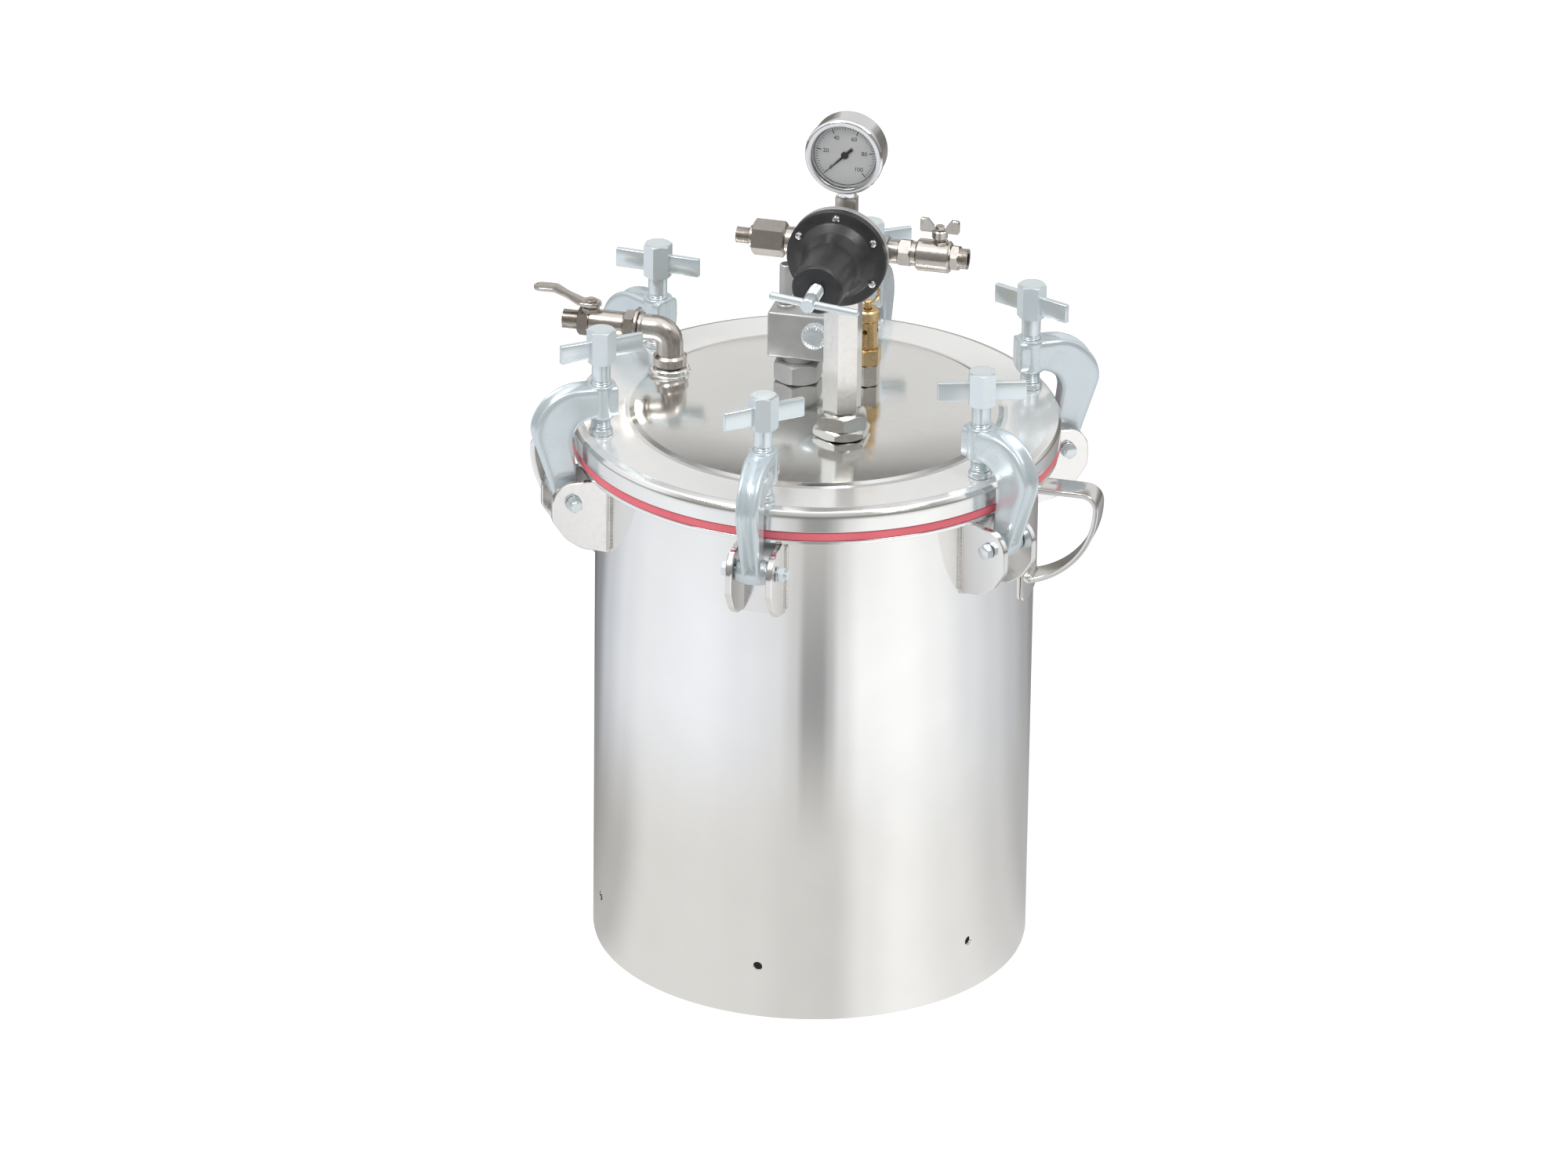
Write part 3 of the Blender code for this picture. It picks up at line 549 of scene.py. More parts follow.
def carry_handles():
    """Straps that leave the plate level, bend down, and come back to it along a wide arc."""
    thick, half, bend = 0.0045, 0.0125, 0.012
    strap_top, strap_out, foot = 0.421, high("carry_handle_right").x - thick / 2, (0.183, 0.34)
    plate_r = (TANK_R + GAP, TANK_R + 0.0028)
    corner = (strap_out - bend, strap_top - bend)
    drop, reach = corner[1] - foot[1], strap_out - foot[0]
    sweep_r = (reach**2 + drop**2) / (2 * reach)
    last = -math.degrees(math.asin(drop / sweep_r))
    path = [(plate_r[1] - 0.001 + 0.006 * i, strap_top) for i in range(6)]
    path += arc(corner, bend, 90, 0, 12) + arc((strap_out - sweep_r, corner[1]), sweep_r, 0, last, 32)[1:]
    path.append((plate_r[1] - 0.001, foot[1] - 0.0006))
    for name, turn in (("carry_handle_right", 0), ("carry_handle_left", math.pi)):
        back = patch(f"{name}_plate", 0.025, (low(name).z, high(name).z), plate_r, 0.006)
        strap = sweep(f"{name}_strap", path, strap_section(half, thick, 0.0012))
        seams = []
        for count, height in enumerate((strap_top - 0.0027, foot[1] + 0.0038)):
            route = line((plate_r[1], -half, height), (plate_r[1], half, height), 22)
            seams.append(bead(f"{name}_seam_{count}", route, 0.0016))
        place = Matrix.Rotation(turn, 4, "Z")
        dress(merged(f"{name}_look", back, strap, at=place), name, "handle")
        dress(merged(f"{name}_welds", *seams, at=place), name, "weld", extra=True)


# ---- lid


def lid():
    z, under = LID_RIM_Z, low("lid").z
    profile = [
        (0.01, LID_TOP), (0.06, LID_TOP), (0.082, LID_TOP - 0.0001), (0.112, LID_TOP - 0.0013),
        (0.135, LID_TOP - 0.0034), (0.1485, LID_TOP - 0.005, 0.002), (0.1525, z + 0.0006, 0.0015),
        (0.156, z, 0.002), (0.1915, z, 0.003), (0.1972, z - 0.0016, 0.003), (0.1997, z - 0.0052, 0.003),
        (LID_R, z - 0.0085), (LID_R, under, 0.0008), (0.188, under), (0.1875, z - 0.0065),
        (0.184, z - 0.003), (0.155, z - 0.003), (0.15, z - 0.0017), (0.135, z + 0.0003),
        (0.112, z + 0.0027), (0.082, z + 0.004), (0.01, z + 0.004),
    ]
    plate = dress(lathe("lid_look", profile, steps=240), "lid", "lid")
    # painted highlight: the rim band's faces take the lighter copy of the lid's steel
    plate.data.materials.append(FINISH["rim"])
    for face in plate.data.polygons:
        on_rim = math.hypot(*face.center[:2]) > 0.154 and face.center.z > z - 0.002
        face.material_index = int(on_rim)
    elbow = fluid_axis()
    boss = [("round", 0.016, z + 0.001, 0.476, 0.0008)]
    dress(stack("fluid_boss_look", boss, frame_at((elbow.x, elbow.y, 0))), "lid", "lid", extra=True)
    ring = [(*point, z + 0.0043) for point in arc(elbow[:2], 0.0163, 0, 360, 72)]
    dress(bead("fluid_boss_weld", ring, 0.0013), "lid", "weld", extra=True)
    inner, outer = 0.188, high("lid_gasket").x
    low_z, high_z = low("lid_gasket").z, high("lid_gasket").z
    seal = [(outer, high_z, 0.0018), (outer, low_z, 0.0018), (inner, low_z, 0.001), (inner, high_z, 0.001)]
    dress(lathe("gasket_look", seal, steps=240, loop=True), "lid_gasket", "rubber")


# ---- clamps


def clamp_direction(number):
    return Vector((*JOINT[f"clamp_swing_{number}"]["pos_m"][:2], 0)).normalized()


AT_PIVOT = frame_at((PIVOT[0], 0, PIVOT[1]), BACK)
AT_SCREW = frame_at((SCREW_R, 0, 0))


def eased(value, start, end):
    """0 before start and 1 after end, smoothly."""
    t = min(1.0, max(0.0, (value - start) / (end - start)))
    return t * t * (3 - 2 * t)


def arm_rings():
    """Sections of the C-shaped casting, from its boss to its eye.

    Outside it has two ridges with a valley between them, and it gets thinner towards the eye.
    """
    outer_r, inner_r = 0.039, 0.019
    outer_c, inner_c = (ARM_OUT - outer_r, BOSS[1] - outer_r), (0.188, BOSS[0] - inner_r)
    outer = [(x, BOSS[1]) for x in (0.17, 0.1708, 0.178, 0.186)] + arc(outer_c, outer_r, 90, 0, 10)
    inner = [(x, BOSS[0]) for x in (0.17, 0.1708, 0.176, 0.182)] + arc(inner_c, inner_r, 90, 0, 10)
    eye_out, eye_in = arc(PIVOT, ARM_EYE_R, -8, -92, 5), arc(PIVOT, ARM_EYE_R, 140, 256, 5)
    legs = 6
    for i in range(1, legs):
        t = i / legs
        outer.append(tuple(Vector((outer_c[0] + outer_r, outer_c[1])).lerp(Vector(eye_out[0]), t)))
        inner.append(tuple(Vector((inner_c[0] + inner_r, inner_c[1])).lerp(Vector(eye_in[0]), t)))
    outer += eye_out[:-1]
    inner += eye_in[:-1]
    count = len(outer)
    rings = []
    for i, (far, near) in enumerate(zip(outer, inner)):
        t = i / (count - 1)
        half = 0.0116 - 0.0018 * eased(t, 0.12, 0.35) - 0.0018 * eased(t, 0.45, 0.85)
        half -= 0.0012 * eased(t, 0.85, 1.0)
        valley = eased(t, 0.1, 0.26) * (1 - eased(t, 0.86, 0.95))
        deep = valley * (0.17 + 0.1 * eased(t, 0.6, 0.82))
        waist = 1.0 - 0.1 * valley
        side = [(0, 0), (0, 0.62), (0.05, 0.88), (0.2, waist), (0.5, waist), (0.74, 1.0), (0.9, 0.98)]
        side += [(0.985, 0.84), (1.0, 0.66), (1 - 0.45 * deep, 0.44), (1 - 0.9 * deep, 0.2), (1 - deep, 0)]
        whole = side + [(u, -v) for u, v in reversed(side[1:-1])]
        near, far = Vector(near), Vector(far)
        rings.append([(*near.lerp(far, u), v * half) for u, v in whole])
    return [[(x, y, z) for x, z, y in ring] for ring in rings]


def clamp_arm(name, matrix):
    arm = modified(skin(f"{name}_cast", arm_rings()), "SUBSURF", levels=2, render_levels=2)
    collar = lathe(
        f"{name}_boss",
        [(0.0081, BOSS[1] + 0.0004), (0.0118, BOSS[1] + 0.0004, 0.0008), (0.0122, BOSS[1] - 0.002, 0.0005),
         (0.0122, BOSS[0] + 0.0015, 0.0008), (0.011, BOSS[0] - 0.0004, 0.0005), (0.0081, BOSS[0] - 0.0004)],
        AT_SCREW, steps=48, loop=True,
    )
    barrel = lathe(
        f"{name}_eye",
        [(0.0043, 0.013), (0.0088, 0.013, 0.001), (0.0104, 0.0075, 0.002), (0.0104, -0.0075, 0.002),
         (0.0088, -0.013, 0.001), (0.0043, -0.013)],
        AT_PIVOT, steps=48, loop=True,
    )
    return merged(name, arm, collar, barrel, at=matrix)


def clamp_bracket(name, matrix):
    """Two pressed ears on a back plate that is welded to the shell."""
    bottom, top = BRACKET_Z
    corners = [(BRACKET_BACK, top), (0.199, top, 0.002), *arc(PIVOT, EAR_R, 80, 0, 12)]
    corners += [*BRACKET_HEEL, (BRACKET_BACK, bottom)]
    outline = rounded(corners, closed=True)
    ears = [
        extruded(f"{name}_ear_{count}", outline, *sorted((side * 0.014, side * 0.0192)), 0.0007)
        for count, side in enumerate((1, -1))
    ]
    plate = patch(f"{name}_plate", 0.0198, BRACKET_Z, (TANK_R + GAP, TANK_R + 0.0033), 0.003)
    return merged(name, plate, *ears, at=matrix)


def bracket_welds(name, matrix):
    bottom, top = BRACKET_Z[0] + 0.004, BRACKET_Z[1] - 0.004
    seams = []
    for side in (1, -1):
        across = side * 0.0202
        x = math.sqrt((TANK_R + 0.0008) ** 2 - across**2)
        seams.append(bead(f"{name}_{side}", line((x, across, bottom), (x, across, top), 44), 0.0012))
    return merged(name, *seams, at=matrix)


def pivot_bolt(name, matrix):
    """A hexagonal bolt, two washers and a nut, along the pivot."""
    face = 0.0198
    sections = [
        ("hex", 0.011, -face - 0.0056, -face - 0.0012),
        ("round", 0.0066, -face - 0.0012, -face - 0.0002, 0.0002),
        ("round", 0.004, -face, face),
        ("round", 0.0066, face + 0.0002, face + 0.0012, 0.0002),
        ("hex", 0.011, face + 0.0012, face + 0.006),
        ("thread", 0.004, face + 0.006, 0.0283, 0.0012),
    ]
    return stack(name, sections, matrix @ AT_PIVOT, steps=48)


def clamp_pad(name, matrix):
    """A swivel foot with a cup for the screw's ball; its heights are over the lid's rim."""
    rim = LID_RIM_Z
    profile = [
        (0.0003, rim + 0.0023), (0.0046, rim + 0.0023), (0.0048, rim + 0.0053, 0.0003),
        (0.0086, rim + 0.0053, 0.001), (0.0098, rim + 0.003, 0.0008), (0.01, rim + 0.0003, 0.0004),
        (0.0003, rim + 0.0003),
    ]
    return lathe(name, profile, matrix @ AT_SCREW, steps=48)


def clamp_screw(name, matrix, turn):
    """The clamp screw, its hexagonal head and its flat T bar."""
    rim, neck = LID_RIM_Z, BOSS[1] + 0.004
    head_low, head_top = rim + 0.0625, high("clamp_tscrew_1").z
    sections = [
        ("round", 0.0045, low("clamp_tscrew_1").z, rim + 0.0056, 0.0004),
        ("thread", 0.008, rim + 0.0057, neck, 0.002),
        ("round", 0.0078, neck, head_low, 0.0002),
        ("hex", 0.021, head_low, head_top),
        ("round", 0.009, head_top, head_top),  # holds the end face flat in smooth shading
    ]
    screw = stack(f"{name}_shank", sections)
    bar = block(f"{name}_bar", (-0.036, -0.0025, rim + 0.0665), (0.036, 0.0025, rim + 0.0825), 0.0009)
    return merged(name, screw, bar, at=matrix @ frame_at((SCREW_R, 0, 0), turn=turn))


def clamps():
    for number, bar_angle in enumerate(T_BAR_ANGLES, start=1):
        out = clamp_direction(number)
        angle = math.degrees(math.atan2(out.y, out.x))
        place = Matrix.Rotation(math.radians(angle), 4, "Z")
        dress(clamp_bracket(f"bracket_look_{number}", place), f"clamp_bracket_{number}", "handle")
        dress(bracket_welds(f"bracket_welds_{number}", place), f"clamp_bracket_{number}", "weld", extra=True)
        dress(pivot_bolt(f"pivot_look_{number}", place), f"clamp_pivot_pin_{number}", "plated")
        dress(clamp_arm(f"arm_look_{number}", place), f"clamp_arm_{number}", "casting")
        dress(clamp_pad(f"pad_look_{number}", place), f"clamp_pad_{number}", "plated")
        screw = clamp_screw(f"screw_look_{number}", place, bar_angle - angle)
        dress(screw, f"clamp_tscrew_{number}", "plated")


# ---- riser and regulator


def riser():
    here = frame_at((RISER.x, RISER.y, 0))
    post = [
        ("round", 0.011, low("riser_post").z, 0.4935, 0.0004),
        ("hex", 0.028, 0.4945, 0.595),
        ("round", 0.0118, 0.5951, 0.6085, 0.0005),
    ]
    dress(stack("riser_look", post, here), "riser_post", "nut")
    nut = stack("riser_nut_low", [("hex", 0.042, ON_LID, 0.4815)], here)
    turned = frame_at((RISER.x, RISER.y, 0), turn=18)
    top = stack("riser_nut_top", [("hex", 0.039, 0.4812, 0.494)], turned)
    dress(merged("riser_nuts_look", nut, top), "riser_locknut", "nut")


def at_regulator(offset=(0, 0, 0)):
    """The regulator's own frame: Z to the front, Y up."""
    return frame_at(REGULATOR, FRONT) @ Matrix.Translation(offset)


def regulator_body():
    flange = [
        (0.001, 0.0178), (BONNET_R - 0.0003, 0.0178, 0.0006), (BONNET_R, 0.0125, 0.001),
        (0.033, 0.0115, 0.003), (0.026, 0.007, 0.004), (0.0245, -0.016, 0.004), (0.0205, -0.0215, 0.002),
        (0.018, -0.022, 0.001), (0.018, -0.032, 0.001), (0.016, -0.0348, 0.001), (0.001, -0.0348),
    ]
    core = lathe("regulator_core", flange, at_regulator())
    centre = REGULATOR + Vector((0, 0.003, 0))
    over = frame_at((GAUGE.x, centre.y, centre.z))
    sides = stack("regulator_sides", [("round", 0.0125, -0.0365, 0.0365, 0.0008)], frame_at(centre, OUT))
    bottom = stack("regulator_low", [("round", 0.0135, 0.008, 0.03, 0.0008)], frame_at(centre, -UP))
    top = stack("regulator_high", [("round", 0.0115, 0.008, 0.0265, 0.0008)], over)
    dress(merged("regulator_body_look", core, sides, bottom, top), "regulator_body", "grey")


def regulator_bonnet():
    back, end = 0.0183, 0.091
    profile = [
        (0.0065, end, 0.0005), (0.0192, end, 0.0015), (0.021, end - 0.003, 0.001), (0.0215, 0.062),
        (0.0225, 0.046, 0.01), (0.0262, 0.0345, 0.006), (0.032, 0.0275, 0.004), (0.0362, 0.0262, 0.002),
        (BONNET_R, 0.025, 0.0012), (BONNET_R, back, 0.0008), (0.0285, back), (0.0285, 0.0225),
        (0.0225, 0.033), (0.0195, 0.046), (0.0182, 0.062), (0.0182, end - 0.003), (0.0065, end - 0.003),
    ]
    bonnet = lathe("bonnet_look", profile, at_regulator(), steps=120, loop=True)
    dress(bonnet, "regulator_bonnet", "black")
    screws = []
    head = [(0.0002, 0.0287), (0.0016, 0.0286), (0.0029, 0.0278, 0.0006), (0.0034, 0.0262), (0.0034, 0.025)]
    head.append((0.0002, 0.025))
    slot_low, slot_high = (-0.005, -0.00045, 0.0279), (0.005, 0.00045, 0.0295)
    for i, spot in enumerate(arc((0, 0), 0.035, 90, 390, 5)):
        place = at_regulator((*spot, 0))
        cap = lathe(f"bonnet_screw_{i}", head, place, steps=24)
        blade = Matrix.Rotation(math.radians(25 + 47 * i), 4, "Z")
        screws.append(cut(cap, block(f"screw_slot_{i}", slot_low, slot_high, 0.0001, place @ blade)))
    heads = dress(merged("bonnet_screws", *screws), "regulator_bonnet", "nut", extra=True)


def regulator_adjuster():
    refinish("regulator_spring_button", "grey")
    shank = [
        ("round", 0.005, 0.078, 0.079, 0.0002),
        ("thread", 0.006, 0.079, 0.1085, 0.0014),
        ("round", 0.006, 0.109, 0.1233, 0.0008),
    ]
    dress(stack("adjuster_look", shank, at_regulator(), steps=48), "regulator_screw", "plated")
    tilt = math.radians(-6)
    along = Vector((math.cos(tilt), 0, math.sin(tilt)))
    half = 0.037
    rod = [
        ("round", 0.0012, -half, -half + 0.0002), ("round", 0.0033, -half + 0.0014, half - 0.0014),
        ("round", 0.0012, half - 0.0002, half),
    ]
    bar = stack("tbar_look", rod, frame_at(middle("regulator_tbar"), along), steps=32)
    dress(bar, "regulator_tbar", "plated")


# ---- gauge


AT_GAUGE = frame_at(GAUGE, FRONT)
ZERO_AT, SWEEP = 225, 270  # the scale's first mark and its length, in degrees
DIAL_FACE = 0.00855


def dial_number(index, text):
    """One number of the scale, upright."""
    words = bpy.data.curves.new(f"number_{index}", "FONT")
    words.body = text
    words.size = 0.0049
    words.align_x = words.align_y = "CENTER"
    words.extrude = 0.00005
    label = linked(f"number_{index}", words)
    angle = math.radians(ZERO_AT - SWEEP / 5 * index)
    label.location = (0.016 * math.cos(angle), 0.016 * math.sin(angle), DIAL_FACE)
    figure = linked(f"figure_{index}", final_mesh(label))
    figure.matrix_world = label.matrix_world.copy()
    bpy.data.objects.remove(label)
    return figure


def dial_marks():
    """Ticks and numbers from 0 to 100, flat on the dial."""
    face, top = DIAL_FACE, DIAL_FACE + 0.0001
    marks = []
    for i in range(51):
        long = i % 10 == 0
        start = 0.02 if long else (0.0214 if i % 5 == 0 else 0.0223)
        wide = 0.00035 if long else 0.00018
        place = Matrix.Rotation(math.radians(ZERO_AT - SWEEP * i / 50), 4, "Z")
        marks.append(block(f"tick_{i}", (start, -wide, face), (0.0244, wide, top), 0.00003, place))
    marks += [dial_number(i, str(20 * i)) for i in range(6)]
    ring = [(0.0253, face), (0.0258, face), (0.0258, top), (0.0253, top)]
    marks.append(lathe("dial_ring", ring, loop=True))
    return merged("gauge_marks", *marks, at=AT_GAUGE)


def gauge():
    adapter_low, adapter_top = 0.6648, 0.682
    adapter = [
        ("round", 0.0066, low("gauge_adapter").z, adapter_low),
        ("hex", 0.017, adapter_low, adapter_top),
    ]
    dress(stack("adapter_look", adapter, frame_at((GAUGE.x, GAUGE.y, 0))), "gauge_adapter", "nickel")
    front, back, radius = 0.0145, -0.014, (high("gauge_case").x - low("gauge_case").x) / 2
    inner, skirt = radius - 0.0037, radius - 0.0012
    cup = [
        (0.001, back + 0.002), (inner, back + 0.002, 0.001), (inner, front - 0.0015),
        (inner - 0.0016, front - 0.0012, 0.0004), (inner - 0.0013, front - 0.0002, 0.0004),
        (radius - 0.0015, front, 0.0012), (radius, front - 0.0016, 0.001), (radius, front - 0.0065, 0.0006),
        (skirt, front - 0.0072, 0.0004), (skirt, back + 0.004, 0.002), (radius - 0.0035, back, 0.002),
        (0.001, back),
    ]
    case = lathe("gauge_cup", cup, AT_GAUGE, steps=120)
    reach = GAUGE.z - adapter_top
    neck = [
        ("round", 0.005, 0.028, 0.0305), ("hex", 0.014, 0.0305, reach - GAP),
        ("round", 0.005, reach, reach + 0.006),
    ]
    stem = stack("gauge_stem", neck, frame_at(GAUGE, -UP))
    dress(merged("gauge_case_look", case, stem), "gauge_case", "chrome")
    dial = [(inner - 0.0004, 0.0085), (inner - 0.0004, 0.0077)]
    dress(lathe("dial_look", dial, AT_GAUGE), "gauge_dial", "dial")
    dress(dial_marks(), "gauge_dial", "ink", extra=True)
    lens = [(inner - 0.0003, 0.0113), (inner - 0.0003, 0.0125, 0.0003), (0.02, 0.0127)]
    dress(lathe("lens_look", lens, AT_GAUGE), "gauge_lens", "glass")
    blade = [(-0.0013, -0.0085), (0.0013, -0.0085), (0.0008, 0.004)]
    blade += [(0.0002, 0.0205), (-0.0002, 0.0205), (-0.0008, 0.004)]
    needle = extruded("needle_blade", blade, -0.0003, 0.0003, 0.0001)
    needle.data.transform(Matrix.Rotation(math.radians(90), 4, "X"))
    needle.data.transform(Matrix.Translation((0, 0, 0.0093)) @ Matrix.Scale(-1, 4, (0, 1, 0)))
    hub = stack("needle_hub", [("round", 0.003, 0.0089, 0.0102, 0.0004)], steps=32)
    pointer = merged("pointer_look", needle, hub, at=frame_at(GAUGE, FRONT, ZERO_AT - 90))
    dress(pointer, "gauge_pointer", "ink")


# ---- air fittings


def air_fittings():
    """Both go outwards from the regulator's ports, which end at one distance from its centre."""
    centre, face = Vector((RISER.x, RISER.y, PORT_Z)), 0.0368
    inlet = [
        ("round", 0.0085, 0.0293, face),
        ("round", 0.011, face, 0.0475, 0.0006),
        ("hex", 0.026, 0.048, 0.0745),
        ("round", 0.0092, 0.0746, 0.0775, 0.0008),
        ("thread", 0.0067, 0.0776, 0.0886, 0.0014),
        ("bore", 0.004, 0.0887, 0.06),
    ]
    dress(stack("inlet_look", inlet, frame_at(centre, -OUT, 15)), "air_inlet_fitting", "nickel")
    outlet = [
        ("round", 0.0085, 0.0293, face),
        ("round", 0.0098, face, 0.0455, 0.0005),
        ("hex", 0.0205, 0.046, 0.056),
        ("round", 0.01, 0.0562, 0.06, 0.0004),
        ("round", 0.013, 0.0605, 0.088, 0.0014),
        ("hex", 0.019, 0.0885, 0.0955),
        ("thread", 0.0085, 0.0956, 0.102, 0.0014),
        ("bore", 0.005, 0.1021, 0.08),
    ]
    body = stack("outlet_tube", outlet, frame_at(centre, OUT, 10))
    stem_at = middle("air_outlet_valve_handle")
    stem = stack(
        "outlet_stem",
        [("hex", 0.012, 0.0105, 0.0142), ("round", 0.0042, 0.0142, 0.0157, 0.0003)],
        frame_at((stem_at.x, stem_at.y, PORT_Z)), steps=48,
    )
    dress(merged("outlet_look", body, stem), "air_outlet_valve_body", "nickel")
    base = PORT_Z + 0.016
    half = [(-0.0052, 0.0), (-0.006, 0.005, 0.001), (-0.016, 0.0048, 0.002), (-0.016, 0.0165, 0.003)]
    half += [(-0.0105, 0.016, 0.002), (-0.0045, 0.0085, 0.002)]
    outline = rounded([*half, *[(-p[0], *p[1:]) for p in reversed(half)]], closed=True)
    wing = extruded("outlet_wing", outline, -0.0021, 0.0021, 0.0006)
    wing.matrix_world = Matrix.Translation((stem_at.x, stem_at.y, base))
    hub = stack(
        "outlet_hub", [("round", 0.0064, 0.0, 0.007, 0.0008), ("hex", 0.007, 0.007, 0.0105)],
        frame_at((stem_at.x, stem_at.y, base)), steps=48,
    )
    dress(merged("outlet_handle_look", wing, hub), "air_outlet_valve_handle", "nickel")


# ---- valves on the lid


def safety_valve():
    at = middle("safety_valve_nipple")
    here = frame_at((at.x, at.y, 0))
    nipple = [
        ("round", 0.008, low("safety_valve_nipple").z, ON_LID),
        ("hex", 0.019, ON_LID, 0.492),
    ]
    dress(stack("nipple_look", nipple, here), "safety_valve_nipple", "nickel")
    body = [
        ("round", 0.0066, low("safety_valve_body").z, 0.4923),
        ("hex", 0.021, 0.4923, 0.506),
        ("round", 0.0088, 0.5061, 0.53, 0.0006),
        ("round", 0.01, 0.5302, 0.54, 0.0012),
        ("bore", 0.0036, 0.54, 0.516),
    ]
    valve = stack("safety_look", body, here)
    drill = [(0.002, -0.012), (0.002, 0.012)]
    holes = [
        lathe(f"safety_hole_{i}", drill, frame_at((at.x, at.y, 0.522), way), steps=20)
        for i, way in enumerate((OUT, BACK))
    ]
    dress(cut(valve, *holes), "safety_valve_body", "brass")
    top = high("safety_valve_body").z + 0.007
    ring_r, wire = 0.009, 0.0013
    stem = stack("safety_stem", [("round", 0.0028, 0.5155, top, 0.0005)], here, steps=32)
    loops = lathe(
        "pull_loop", arc((ring_r, 0), wire, 0, 324, 9),
        frame_at((at.x, at.y, top + ring_r - 0.001), BACK), steps=48, loop=True,
    )
    dress(merged("safety_ring_look", stem, loops), "safety_valve_ring", "brass")


def vent_valve():
    """A block on a hexagonal foot, with a bent-up pipe and a ribbed knob in front."""
    body_low, body_high = low("vent_valve_body"), high("vent_valve_body")
    at, half = Vector((-0.026, 0.042, 0)), 0.015
    base = [
        ("round", 0.008, body_low.z, ON_LID), ("hex", 0.036, ON_LID, 0.491),
        ("round", 0.0135, 0.4911, 0.4975, 0.0004),
    ]
    foot = stack("vent_foot", base, frame_at(at))
    box = block("vent_box", (body_low.x, at.y - half, 0.496), (0.003, at.y + half, 0.536), 0.0022)
    pipe = stack(
        "vent_pipe",
        [("round", 0.0075, 0.535, 0.5395, 0.0006), ("round", 0.0055, 0.5395, body_high.z, 0.0006),
         ("bore", 0.0042, body_high.z, 0.555)],
        frame_at((-0.037, at.y, 0)), steps=48,
    )
    knob_at = middle("vent_valve_knob")
    on_front = frame_at((knob_at.x, at.y - half, knob_at.z), FRONT)
    gland = stack(
        "vent_gland", [("hex", 0.013, -0.001, 0.0045), ("round", 0.0048, 0.0045, 0.0066, 0.0003)],
        on_front, steps=48,
    )
    dress(merged("vent_look", foot, box, pipe, gland), "vent_valve_body", "grey")
    ribs, start = 24, 0.0068
    knob = (
        (0.007, 0), (0.009, 0.0004), (0.0106, 0.0022), (0.011, 0.0035), (0.011, 0.0085),
        (0.0102, 0.0102), (0.0082, 0.0114), (0.004, 0.0115),
    )
    rings = []
    for radius, height in knob:
        groove = 0.0007 if 0.001 < height < 0.011 else 0.0
        ring = []
        for i in range(ribs * 4):
            angle = 2 * math.pi * i / (ribs * 4)
            reach = radius - groove * (i % 4 == 0)
            ring.append((reach * math.cos(angle), reach * math.sin(angle), start + height))
        rings.append(ring)
    dress(skin("vent_knob_look", rings, on_front), "vent_valve_knob", "plated")


# ---- fluid outlet


def fluid_axis():
    """Where the dip tube and the elbow stand."""
    at = middle("siphon_tube")
    return Vector((at.x, at.y, middle("fluid_valve_body").z))


def fluid_elbow(at, face):
    """A street elbow that stands in the lid's boss and opens towards the valve's face."""
    bend = 0.012
    route = [(at.x, 0.48), (at.x, 0.489)]
    route += arc((at.x - bend, at.z - bend), bend, 0, 90, 14) + [(at.x - bend - 0.01, at.z)]
    tube = arc((0, 0), 0.011, 0, 352.5, 47)
    elbow = sweep("elbow_tube", route, tube, Matrix.Translation((0, at.y, 0)))
    foot = stack(
        "elbow_foot",
        [("round", 0.01, low("fluid_outlet_elbow").z, 0.4763), ("round", 0.014, 0.4763, 0.487, 0.002)],
        frame_at((at.x, at.y, 0)),
    )
    mouth = stack(
        "elbow_mouth",
        [("round", 0.0125, 0.0, 0.005, 0.0015), ("round", 0.016, 0.004, 0.007, 0.0008)],
        frame_at((face + 0.0073, at.y, at.z), -OUT),
    )
    dress(merged("elbow_look", elbow, foot, mouth), "fluid_outlet_elbow", "nickel")


def fluid_valve(at, face, stem_x):
    body = [
        ("round", 0.0085, -0.0075, 0.0),
        ("hex", 0.0225, 0.0003, 0.009),
        ("round", 0.0105, 0.0092, 0.0384, 0.0008),
        ("hex", 0.0215, 0.0385, 0.048),
        ("thread", 0.008, 0.0481, 0.0611, 0.0014),
        ("bore", 0.005, 0.0612, 0.04),
    ]
    tube = stack("valve_tube", body, frame_at((face, at.y, at.z), -OUT, 15))
    stem = stack(
        "valve_stem", [("hex", 0.013, 0.0085, 0.0125), ("round", 0.0044, 0.0125, 0.0146, 0.0002)],
        frame_at((stem_x, at.y, at.z)), steps=48,
    )
    dress(merged("fluid_valve_look", tube, stem), "fluid_valve_body", "nickel")


def fluid_lever(at, stem_x):
    """A bent strap from the stem to its round tip, with a waist and a nut over the stem."""
    seat, half = 0.0163, 0.007
    tip = low("fluid_valve_lever").x - stem_x + 0.0002
    knots = [(0.0088, seat), (-0.008, seat, 0.008), (-0.03, seat + 0.01, 0.008), (tip, seat + 0.0095)]
    path = rounded(knots, count=6)
    fine = []
    for one, other in zip(path, path[1:]):
        steps = max(1, round(math.dist(one, other) / 0.002))
        fine += [tuple(Vector(one).lerp(Vector(other), i / steps)) for i in range(steps)]
    fine.append(path[-1])
    widths = []
    for x, z in fine:
        end = min(abs(x - fine[0][0]), abs(x - tip))
        round_end = math.sqrt(max(0.02, 1 - max(0.0, 1 - end / half) ** 2))
        waist = 1 - 0.28 * math.exp(-(((x + 0.02) / 0.008) ** 2))
        widths.append(round_end * waist)
    lever = sweep("lever_strap", fine, strap_section(half, 0.003, 0.0008), widths=widths)
    nut = stack(
        "lever_nut",
        [("hex", 0.0095, seat + 0.0015, seat + 0.0035), ("round", 0.003, seat + 0.0035, seat + 0.0044)],
        steps=48,
    )
    place = Matrix.Translation((stem_x, at.y, at.z))
    dress(merged("lever_look", lever, nut, at=place), "fluid_valve_lever", "nickel")


